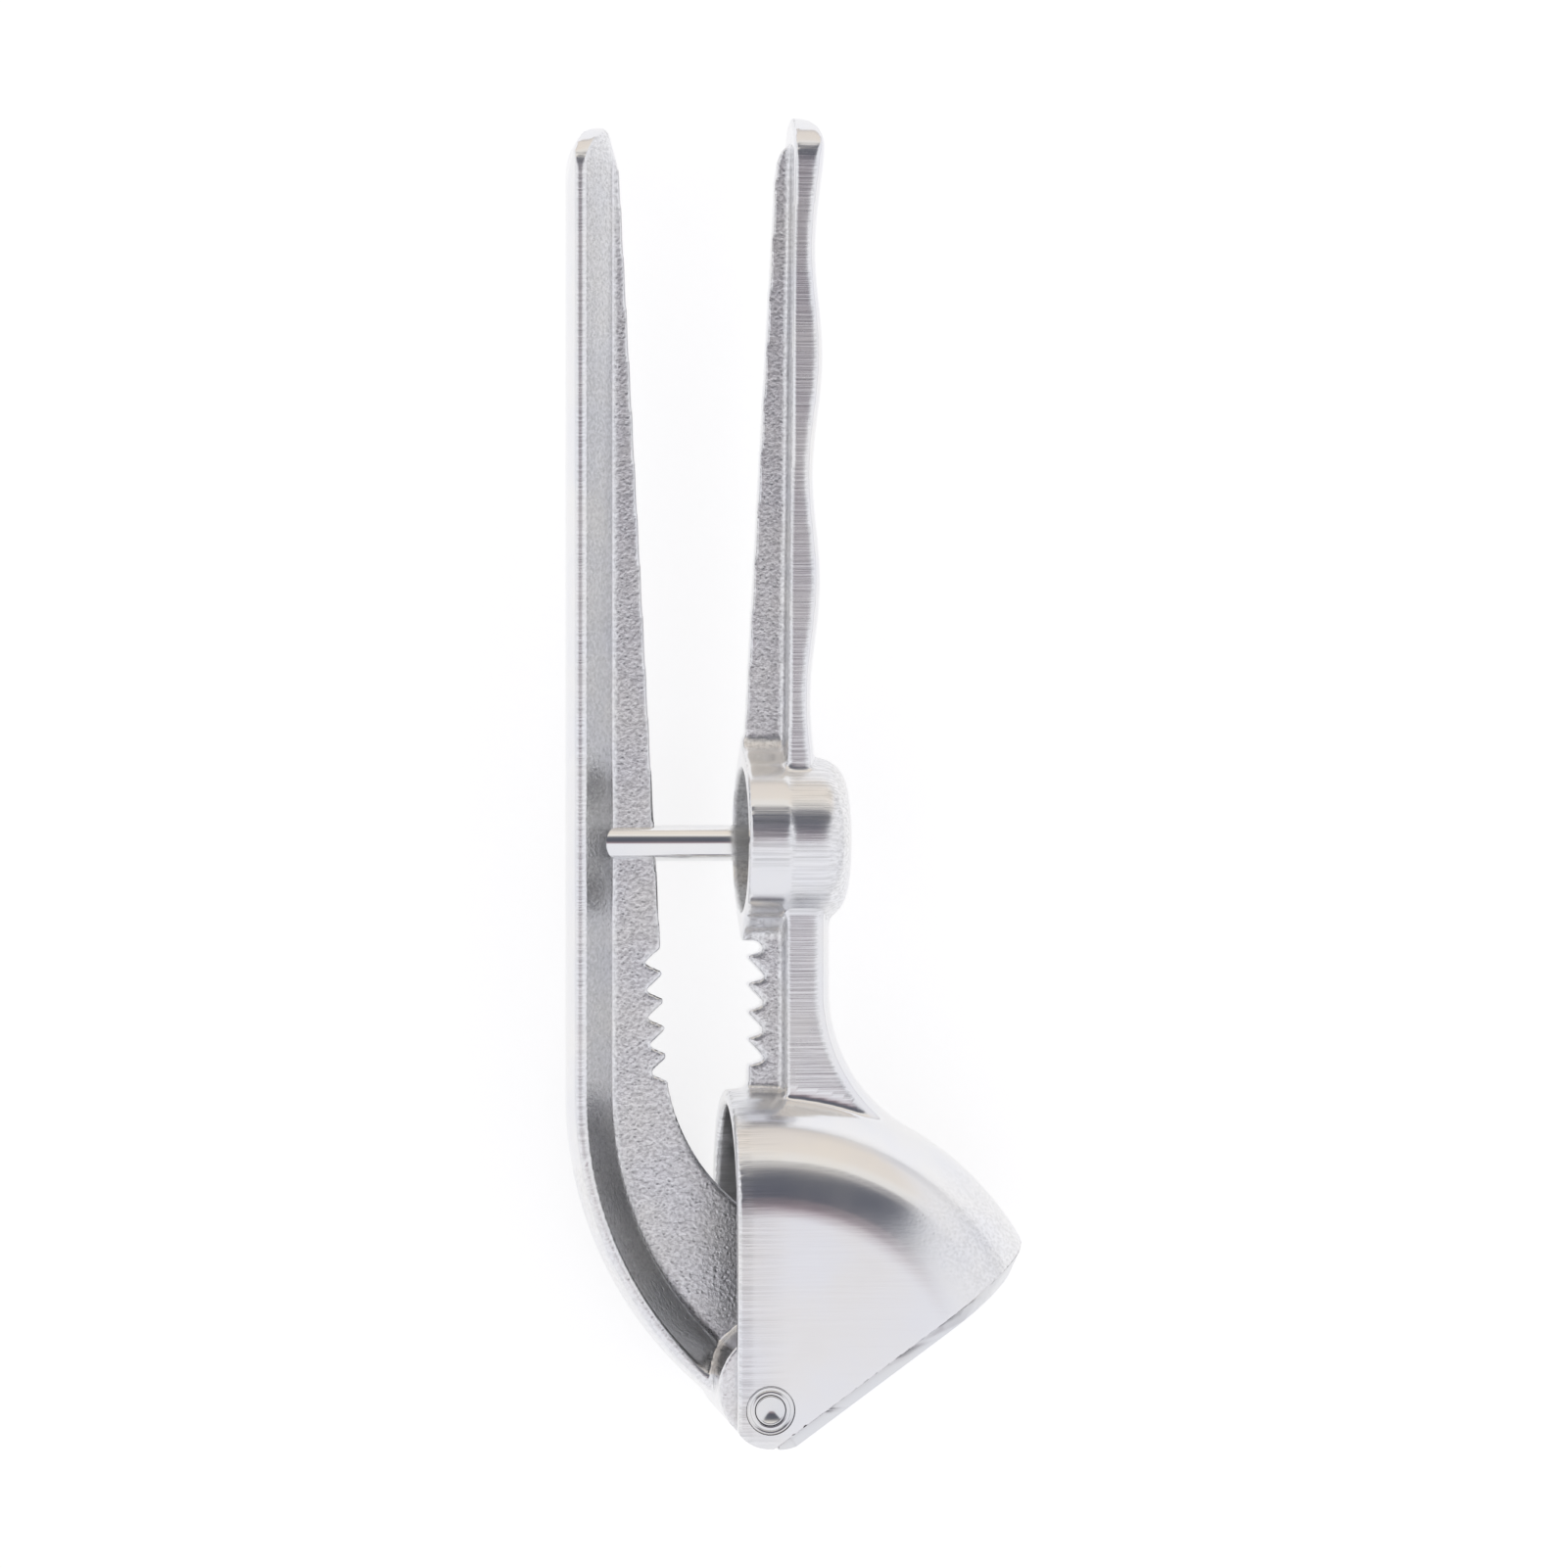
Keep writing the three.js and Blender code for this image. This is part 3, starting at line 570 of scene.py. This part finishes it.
def new_metal(name, colour, depth):
    """A metal material and the nodes that all of them start with."""
    metal = bpy.data.materials.new(name)
    metal.use_nodes = True
    metal.diffuse_color = (*colour, 1)
    hand = Nodes(metal.node_tree)
    shader = metal.node_tree.nodes["Principled BSDF"]
    shader.inputs["Metallic"].default_value = 1.0
    relief = hand.put("Bump", Strength=1.0, Distance=depth * MM)
    metal.node_tree.links.new(relief.outputs[0], shader.inputs["Normal"])
    place = hand.put("TexCoord").outputs["Object"]
    return metal, hand, shader, relief, place


# Cast aluminium: cool and bright where tumbled, lined where ground flat, mottled and rougher in the webs.
# Painted shade darkens the hollows of the mottle and of the grinding lines, and the cup's bore.
aluminium, hand, shader, relief, place = new_metal("cast_aluminium", (0.80, 0.80, 0.82), 0.1)
ground = hand.put("Attribute", {"attribute_name": "ground"}).outputs["Fac"]
as_cast = hand.put("Attribute", {"attribute_name": "as_cast"}).outputs["Fac"]
painted_cup_shade = hand.put("Attribute", {"attribute_name": "painted_cup_shade"}).outputs["Fac"]
tint = put_group(hand, tint_group, Vector=place, Cool=(0.80, 0.805, 0.83, 1), Warm=(0.84, 0.835, 0.83, 1))
skin = put_group(hand, skin_group, Vector=place)
lines = put_group(hand, lines_group, Vector=place)
streaks = put_group(hand, lines_group, Vector=place, Along=60.0, Across=1500.0)
skin_relief = hand.maths("MULTIPLY", skin["Height"], hand.maths("MULTIPLY", as_cast, 0.75))
line_relief = hand.maths("MULTIPLY", lines["Height"], hand.maths("MULTIPLY", ground, 0.34))
streak_relief = hand.maths("MULTIPLY", streaks["Height"], 0.06)
height = hand.maths("ADD", hand.maths("ADD", skin_relief, line_relief), streak_relief)
hand.tree.links.new(height, relief.inputs["Height"])


def shaded_by(height, mask, darkest):
    """Paints shade into the hollows of a relief where its mask shows: a darker base colour where the relief
    is low.
    """
    hollow = hand.put("MapRange", i0=height, i1=0.36, i2=0.6, i3=darkest, i4=1.04).outputs[0]
    return hand.put("Mix", i0=mask, i2=1.0, i3=hollow).outputs[0]


# Painted shade in the hollows of the cast mottle and of the grinding lines.
mottle_hollow_shade = shaded_by(skin["Height"], as_cast, 0.72)
line_hollow_shade = shaded_by(lines["Height"], ground, 0.76)
# Painted shade: inside the cup's bore the base colour is darkened to 0.42 of its value.
cup_shade_factor = hand.put("Mix", i0=painted_cup_shade, i2=1.0, i3=0.42).outputs[0]
# All the painted shade together, multiplied into the metal's tint as its base colour.
painted_shade = hand.maths("MULTIPLY", hand.maths("MULTIPLY", mottle_hollow_shade, line_hollow_shade), cup_shade_factor)
colour = hand.put("Mix", {"data_type": "RGBA", "blend_type": "MULTIPLY"}, i0=1.0, i6=tint["Color"], i7=painted_shade)
hand.tree.links.new(colour.outputs[2], shader.inputs["Base Color"])
tumbled = hand.put("MapRange", i0=tint["Haze"], i1=0.3, i2=0.7, i3=0.13, i4=0.20).outputs[0]
rougher = hand.maths("ADD", hand.maths("MULTIPLY", ground, 0.10), hand.maths("MULTIPLY", as_cast, 0.15))
hand.tree.links.new(hand.maths("ADD", tumbled, rougher), shader.inputs["Roughness"])


def ground_sides(x, y, z, nx, ny, nz):
    """The grip's, the neck's and the cup's sides, which a belt has passed over."""
    flat = soft(np.abs(nz), 0.9, 0.985) * soft(np.abs(z), handle_half - 0.8, handle_half - 0.3)
    from_cup = np.hypot(y - cup_y, z)
    outer_cup = soft(x, flange_face, flange_face + 0.3) * soft(from_cup, cup_radius - 4, cup_radius - 1)
    outer_cup *= 0.8 * (from_cup < cup_radius + 0.5)
    on_hopper = np.hypot(x, y) < hopper_radius + 0.5
    mouth_edge = 0.45 * (1 - soft(x, mouth + 1.6, mouth + 2.6)) + 0.3 * (1 - soft(x, mouth + 3, mouth + 8))
    return np.where(on_hopper, mouth_edge * (x > mouth + 0.2), np.maximum(flat, outer_cup))


def inside_cup(x, y, z, nx, ny, nz):
    """The inside of the cup: it keeps the skin that it was cast with, and it takes the painted shade that
    darkens the cup's bore.
    """
    return 1.0 * (np.hypot(y - cup_y, z) < bore + 0.1) * (x < floor_x + 0.1)


def cast_webs(x, y, z, nx, ny, nz):
    """The webs and the inside of the flanges, which no belt or stone reaches."""
    near_middle = 1 - soft(np.abs(z), 2.1, 3.2)
    web = near_middle * soft(np.abs(nz), 0.5, 0.9) * (y > hopper_radius)
    inside = soft(-nx, 0.5, 0.9) * (np.abs(x - flange_face) < 0.8) * (y > hopper_radius)
    from_rivet = np.hypot(x, y)
    nose = soft(from_rivet, 29, 36) * (1 - soft(y / (from_rivet + 0.01), 0.62, 0.86))
    nose *= 0.4 * (from_rivet < hopper_radius + 0.3)
    return np.maximum.reduce([web, inside, nose, inside_cup(x, y, z, nx, ny, nz)])


mark(hopper_arm, "ground", ground_sides)
mark(hopper_arm, "as_cast", cast_webs)
# Where the painted shade inside the cup's bore falls.
mark(hopper_arm, "painted_cup_shade", inside_cup)
hopper_arm.data.materials.append(aluminium)
settle(hopper_arm, "hopper_side", "hopper_arm")


# ---- Plunger arm ----
# The other casting: a lever of T section that bends round to the rivet, with a toothed web in the bend,
# and the plunger with its barrel, which swings inside the hopper. Cast, linished and tumbled alike.
lever_back = 27.3
lever_crown = 0.8
lever_edge = 1.4
lever_shoulder = 6.8
lever_tip = arm_tip - 1.9
lever_teeth = teeth_bottom - 2.3
bend_y = lever_teeth - 1.8
past_rivet = 3.7
bend_radius = (lever_back**2 - past_rivet**2 + bend_y**2) / (2 * (lever_back - past_rivet))
bend_x = bend_radius - lever_back

back = [(lever_crown * share**2 - lever_back, share * handle_half) for share in np.linspace(-1, 1, 17)]
edge = lever_crown + lever_edge - lever_back
shoulder = lever_shoulder - lever_back
flat_half = web_half - 0.2
section = [
    *back,
    (edge, handle_half),
    (shoulder, flat_half),
    (shoulder, -flat_half),
    (edge, -handle_half),
]
lever = traced("lever", [(x, lever_tip + 1, z) for x, z in section])
edit(lever)
down = (bend_y - lever_tip - 1) * MM
bpy.ops.mesh.extrude_region_move(TRANSFORM_OT_translate={"value": (0, down, 0)})
round_bend = math.atan2(bend_y, bend_x)
bpy.ops.mesh.spin(steps=48, angle=-round_bend, center=(bend_x * MM, bend_y * MM, 0), axis=(0, 0, 1))
close_up()
tip_corner = 9.5
tip_slant = 6.5
tip_cut = 1.4
tip_side = [
    (-lever_back - 1, bend_y - 60),
    (FAR, bend_y - 60),
    (FAR, lever_tip - tip_slant),
    (shoulder, lever_tip - tip_slant),
    (shoulder - tip_cut, lever_tip),
    *[
        (-lever_back + tip_corner / 2 * t**2, lever_tip - tip_corner * (1 - t) ** 2)
        for t in np.linspace(1, 0, 14)
    ],
    (-lever_back, bend_y),
    (-lever_back - 1, bend_y),
]
carve(lever, prism("tip_side", tip_side, "Z", -FAR, FAR), "INTERSECT")
carve(lever, prism("plan", handle_plan(lever_tip), "X", -FAR, FAR), "INTERSECT")

# The web inside the bend, with teeth facing the jaw and a hollow throat down to the plunger.
web_at_teeth = 13.45
web_at_tip = 7.2
throat_radius = 27.3
throat_lean = 8.8
throat_turn = 72
lever_teeth_top = lever_teeth + tooth_count * tooth_pitch


def web_edge(y):
    """X of the web's free edge at a height along the lever."""
    share = (y - lever_teeth_top) / (lever_tip - lever_teeth_top)
    return web_at_teeth - lever_back + share * (web_at_tip - web_at_teeth)


lean = math.radians(throat_lean)
throat_x = web_edge(lever_teeth) + throat_radius * math.cos(lean)
throat_y = lever_teeth + throat_radius * math.sin(lean)
throat = arc(throat_x, throat_y, throat_radius, 180 + throat_turn, 180 + throat_lean, 40)
inner_bend = arc(bend_x, bend_y, bend_radius - lever_shoulder + 0.4, 180, 180 + math.degrees(round_bend), 40)
web_side = [
    *throat[:-1],
    *teeth(lever_teeth, web_edge, -tooth_depth, 0.36),
    (web_edge(lever_tip - tip_slant), lever_tip - tip_slant),
    (shoulder - tip_cut + 0.6, lever_tip - tip_cut / 2),
    (shoulder - 2 * tip_cut, lever_tip - tip_cut / 2),
    *inner_bend,
]
lever_web = prism("lever_web", web_side, "Z", -web_half, web_half)

# The plunger: a plate across the hopper's section, and the barrel round the rivet.
swing_gap = 0.35
plunger_slope = sieve_slope + math.radians(6.5)
plunger_back = 0.1
plunger_face = 4.1
barrel_x, barrel_y, barrel_radius = 1.3, 2.8, 8.3
barrel = prism("barrel", arc(barrel_x, barrel_y, barrel_radius, 0, 357, 119), "Z", -FAR, FAR)
behind = sieve_block(
    "behind_plate", -past_hopper, past_hopper, -past_hopper, plunger_face, slope=plunger_slope
)
carve(barrel, behind, "INTERSECT")
plunger = sieve_block("plate", 0, past_hopper, plunger_back, plunger_face, slope=plunger_slope)
carve(plunger, barrel, "UNION")
plunger_radius = hollow_radius - swing_gap
carve(plunger, fan("swing", plunger_radius, hollow_half - swing_gap), "INTERSECT")
plunger_arm = joined("plunger_casting", [lever, lever_web, plunger])
cast(plunger_arm, 0.39, 2)
barrel_bore = 2.3
rivet_bore = [(0, -FAR), (barrel_bore, -FAR), (barrel_bore, FAR), (0, FAR)]
carve(plunger_arm, turned_on_z("rivet_bore", rivet_bore, 64))


def lever_ground(x, y, z, nx, ny, nz):
    """The narrow edges of the lever's flange."""
    flat = soft(np.abs(nz), 0.9, 0.985) * soft(np.abs(z), handle_half - 0.8, handle_half - 0.3)
    return flat * (np.hypot(x, y) > plunger_radius + 1)


def lever_webs(x, y, z, nx, ny, nz):
    """The toothed web, the sloping underside of the flange and, less so, the plunger's faces."""
    web = (1 - soft(np.abs(z), 1.5, 2.0)) * soft(np.abs(nz), 0.8, 0.95)
    slope = 0.6 * soft(nx, 0.4, 0.7) * (np.abs(z) > web_half + 0.2)
    return np.maximum(np.maximum(web, slope), 0.35 * (np.hypot(x, y) < plunger_radius + 0.5))


mark(plunger_arm, "ground", lever_ground)
mark(plunger_arm, "as_cast", lever_webs)
plunger_arm.data.materials.append(aluminium)
settle(plunger_arm, "plunger_side", "plunger_arm")


# ---- Sieve plate ----
# The perforated plate that closes the hopper: blanked from thicker aluminium sheet, its holes punched
# through, and its side tabs peened under the hopper's ears. Its edges are only just rounded.
sieve_start = 3.0
sieve_tab = 1.1
sieve_rim = 2.4
sieve_hole = 0.9
sieve_pitch = 3.4


def eased(piece, width, segments, angle):
    """Takes the sharpness off a piece's edges, without bending the shading of its flats."""
    ease = piece.modifiers.new("eased_edges", "BEVEL")
    ease.width = width * MM
    ease.segments = segments
    ease.limit_method = "ANGLE"
    ease.angle_limit = math.radians(angle)
    ease.harden_normals = True
    take_up(piece)
    bpy.ops.object.modifier_apply(modifier="eased_edges")


def tinted(hand, shader, place, cool, warm, smoothest, roughest):
    """Gives a metal a colour that drifts from cool to warm, and a roughness that drifts with it."""
    tint = put_group(hand, tint_group, Vector=place, Cool=(*cool, 1), Warm=(*warm, 1))
    hand.tree.links.new(tint["Color"], shader.inputs["Base Color"])
    rough = hand.put("MapRange", i0=tint["Haze"], i1=0.3, i2=0.7, i3=smoothest, i4=roughest)
    hand.tree.links.new(rough.outputs[0], shader.inputs["Roughness"])


sieve = fan("sieve", hopper_radius, hopper_half)
carve(sieve, sieve_block("sheet", -past_hopper, past_hopper, sieve_inner, sieve_outer), "INTERSECT")
carve(sieve, nose_limit(), "INTERSECT")
tabs = [(sieve_tab, -FAR), (FAR, -FAR), (FAR, FAR), (sieve_tab, FAR)]
carve(sieve, prism("tabs", tabs, "Z", -FAR, FAR), "INTERSECT")
blend = [
    (radius * math.cos(math.radians(angle)), radius * math.sin(math.radians(angle)))
    for radius, angle in zip(np.linspace(ear_radius, sieve_outer, 7), np.linspace(278, 306, 7))
]
ear = prism("ear", [*arc(0, 0, ear_radius, 0, 276, 92), *blend], "Z", -FAR, FAR)
carve(ear, sieve_block("past_ear", 0, FAR, -FAR, FAR), "UNION")
carve(sieve, ear, "INTERSECT")
carve(sieve, sieve_block("between_ears", -FAR, sieve_start, -FAR, FAR, hollow_half))

# The holes stand in staggered rows as far as the rim that the hopper's wall rests on.
reach = hollow_half - sieve_rim
centre = hollow_radius - hollow_half
first = sieve_start + sieve_rim + sieve_hole
row_step = sieve_pitch * math.sin(math.pi / 3)
bpy.ops.object.select_all(action="DESELECT")
bpy.ops.mesh.primitive_cylinder_add(vertices=20, radius=sieve_hole * MM, depth=4 * MM)
punch = bpy.context.object
lean_over(punch, math.pi / 2, "X")
lean_over(punch, -sieve_slope, "Z")
punches = []
for row in range(int((centre + reach - first) / row_step) + 1):
    along = first + row * row_step
    widest = math.sqrt(max(reach**2 - max(along - centre, 0) ** 2, 0))
    stagger = sieve_pitch / 2 if row % 2 else 0
    if widest < stagger:
        continue
    count = int((widest - stagger) / sieve_pitch)
    places = [stagger + sieve_pitch * i for i in range(count + 1)]
    x, y = on_sieve(along, (sieve_inner + sieve_outer) / 2)
    for across in sorted({*places, *[-place for place in places]}):
        copy = punch.copy()
        copy.data = punch.data.copy()
        bpy.context.scene.collection.objects.link(copy)
        for vertex in copy.data.vertices:
            vertex.co += Vector((x, y, across)) * MM
        punches.append(copy)
bpy.data.objects.remove(punch)
carve(sieve, joined("punches", punches))
eased(sieve, 0.12, 2, 50)
sheet_metal, hand, shader, relief, place = new_metal("sieve_sheet", (0.76, 0.77, 0.785), 0.006)
tinted(hand, shader, place, (0.76, 0.77, 0.79), (0.80, 0.80, 0.80), 0.34, 0.44)
rolled = hand.put("Mapping", Vector=place, Rotation=(0, 0, -sieve_slope)).outputs[0]
lines = put_group(hand, lines_group, Vector=rolled, Along=50.0, Across=2200.0)
hand.tree.links.new(lines["Height"], relief.inputs["Height"])
sieve.data.materials.append(sheet_metal)
settle(sieve, "hopper_side", "sieve_plate", 30)


# ---- Stoning pin ----
# A straight pin turned from steel rod and polished, pressed into the lever's shoulder. Its free end is
# chamfered and slightly dished, so that it grips a stone and pushes it out through the cup's floor.
pin_y = cup_y - 0.5
pin_radius = 2.6
pin_tip = 4.5
pin_chamfer = 0.5
pin_foot = shoulder - 1.5
pin_profile = [
    (0, pin_foot),
    (pin_radius - 0.3, pin_foot),
    (pin_radius, pin_foot + 0.3),
    *swapped(arc(pin_tip - pin_chamfer, pin_radius - pin_chamfer, pin_chamfer, 90, 0, 6)),
    (pin_radius - 0.8, pin_tip),
    (0, pin_tip - 0.6),
]
pin = turned_on_x("stoning_pin_polished", pin_profile, pin_y, 96)
steel, hand, shader, relief, place = new_metal("polished_steel", (0.84, 0.845, 0.85), 0.0015)
tinted(hand, shader, place, (0.82, 0.825, 0.84), (0.87, 0.865, 0.85), 0.07, 0.14)
turned = put_group(hand, lines_group, Vector=place, Along=2400.0, Across=30.0)
hand.tree.links.new(turned["Height"], relief.inputs["Height"])
pin.data.materials.append(steel)
settle(pin, "plunger_side", "stoning_pin", 35)


# ---- Pivot rivet ----
# One steel rivet through both ears and the plunger's barrel. It has a flat head on one side. On the
# other its tail is rolled over the washer with a round punch, which leaves a shallow dish.
rivet_radius = 2.1
rivet_flange = 3.4
head = -hopper_half
head_top = -pocket_floor - seat_gap
washer_bottom = pocket_floor + seat_gap
washer_top = washer_bottom + 0.6
dish = 1.8
rolled_rim = arc(rivet_radius - 0.2, washer_top - 0.25, 0.2, 0, 120, 8)
hollow_end = [(dish * t, washer_top - 0.1 - 0.55 * (1 - t * t)) for t in np.linspace(1, 0, 12)]
rivet_profile = [
    (0, head + 0.12),
    (1.1, head + 0.1),
    (1.3, head),
    (rivet_flange - 0.35, head),
    (rivet_flange - 0.1, head + 0.1),
    (rivet_flange, head + 0.35),
    (rivet_flange, head_top),
    (rivet_radius, head_top),
    *rolled_rim,
    *hollow_end,
]
rivet = turned_on_z("pivot_rivet_peened", rivet_profile, 96)
rivet_steel, hand, shader, relief, place = new_metal("peened_steel", (0.74, 0.745, 0.76), 0.012)
tinted(hand, shader, place, (0.72, 0.73, 0.755), (0.80, 0.79, 0.775), 0.12, 0.22)
dents = put_group(hand, skin_group, Vector=place, Mottle=700.0, Pits=300.0)
hand.tree.links.new(dents["Height"], relief.inputs["Height"])
rivet.data.materials.append(rivet_steel)
settle(rivet, "hopper_side", "pivot_rivet", 35)


# ---- Rivet washer ----
# A plain steel washer in the upper ear's pocket, punched from sheet, with one side's edges rolled over.
washer_hole = rivet_radius + 0.05
washer_profile = [
    (washer_hole, washer_bottom),
    (rivet_flange - 0.05, washer_bottom),
    (rivet_flange, washer_bottom + 0.1),
    *arc(rivet_flange - 0.22, washer_top - 0.24, 0.22, 0, 90, 6),
    (rivet_flange - 0.45, washer_top - 0.04),
    (rivet_flange - 0.6, washer_top - 0.16),
    (rivet_flange - 0.72, washer_top - 0.06),
    (washer_hole + 0.25, washer_top),
    (washer_hole + 0.08, washer_top - 0.06),
    (washer_hole, washer_top - 0.2),
]
washer = turned_on_z("rivet_washer_punched", washer_profile, 96)
washer.data.materials.append(rivet_steel)
settle(washer, "hopper_side", "rivet_washer", 35)


# ---- Stage ----
# A plain pale floor under the press, the camera overhead, and a white studio whose ceiling has one dark
# stretch with a warm light beside it. Both run across the press, and stop short of it on the left and right.
bpy.ops.object.select_all(action="DESELECT")
bpy.ops.mesh.primitive_plane_add(size=6)
floor = bpy.context.object
floor.name = "floor"
floor_paint = bpy.data.materials.new("pale_floor")
floor_paint.use_nodes = True
paint = floor_paint.node_tree.nodes["Principled BSDF"]
paint.inputs["Base Color"].default_value = (0.45, 0.45, 0.455, 1)
paint.inputs["Roughness"].default_value = 0.9
paint.inputs["Emission Color"].default_value = (1, 1, 1, 1)
paint.inputs["Emission Strength"].default_value = 0.68
floor.data.materials.append(floor_paint)

middle = rivet_place + Vector((3.94, 87.43, 0)) * MM
distance = 0.72
view_width = 0.2241
swing = math.radians(7)
camera_data = bpy.data.cameras.new("camera")
camera = bpy.data.objects.new("camera", camera_data)
bpy.context.scene.collection.objects.link(camera)
camera.location = middle + Vector((-math.sin(swing), 0, math.cos(swing))) * distance
camera.rotation_euler = (0, -swing, 0)
camera_data.sensor_width = 36
camera_data.lens = camera_data.sensor_width * distance / view_width
camera_data.clip_end = 10
bpy.context.scene.camera = camera

world = bpy.data.worlds.new("studio")
bpy.context.scene.world = world
world.use_nodes = True
hand = Nodes(world.node_tree)
direction = hand.put("TexCoord").outputs["Generated"]
parts = hand.put("SeparateXYZ", Vector=direction).outputs
tilt = hand.maths("ARCTAN2", parts["Y"], parts["Z"])
share = hand.maths("DIVIDE", hand.maths("ADD", tilt, math.pi), 2 * math.pi)
ceiling = hand.put("ValToRGB", Fac=share)
stops = [
    (-180, (0.95, 0.95, 0.98)),
    (-5, (0.97, 0.97, 1.0)),
    (-3, (0.86, 0.84, 0.88)),
    (-1, (0.62, 0.54, 0.57)),
    (3, (0.33, 0.26, 0.29)),
    (8, (0.21, 0.175, 0.195)),
    (15, (0.115, 0.12, 0.15)),
    (37, (0.15, 0.155, 0.18)),
    (45, (0.50, 0.48, 0.47)),
    (50, (1.0, 0.98, 0.94)),
    (60, (0.91, 0.84, 0.76)),
    (85, (0.87, 0.80, 0.73)),
    (110, (0.95, 0.95, 0.98)),
]
ramp = ceiling.color_ramp
while len(ramp.elements) < len(stops):
    ramp.elements.new(0.5)
for element, (angle, colour) in zip(ramp.elements, stops):
    element.position = (angle + 180) / 360
    element.color = (*colour, 1)
across = hand.maths("ABSOLUTE", hand.maths("ARCTAN2", parts["X"], parts["Z"]))
sideways = hand.maths("SUBTRACT", across, hand.maths("MULTIPLY", tilt, 0.8))
side_light = hand.put(
    "MapRange",
    {"interpolation_type": "SMOOTHSTEP"},
    Value=sideways,
    From_Min=math.radians(8),
    From_Max=math.radians(18),
)
lit = hand.put(
    "Mix", {"data_type": "RGBA"}, i0=side_light.outputs[0], i6=ceiling.outputs[0], i7=(0.95, 0.95, 0.98, 1)
)
horizon = hand.put("MapRange", Value=parts["Z"], From_Min=0.0, From_Max=0.15, To_Min=0.66)
multiply = {"data_type": "RGBA", "blend_type": "MULTIPLY"}
dimmed = hand.put("Mix", multiply, i0=1.0, i6=lit.outputs[2], i7=horizon.outputs[0])
hand.tree.links.new(dimmed.outputs[2], world.node_tree.nodes["Background"].inputs["Color"])
bpy.context.scene.view_settings.view_transform = "Standard"
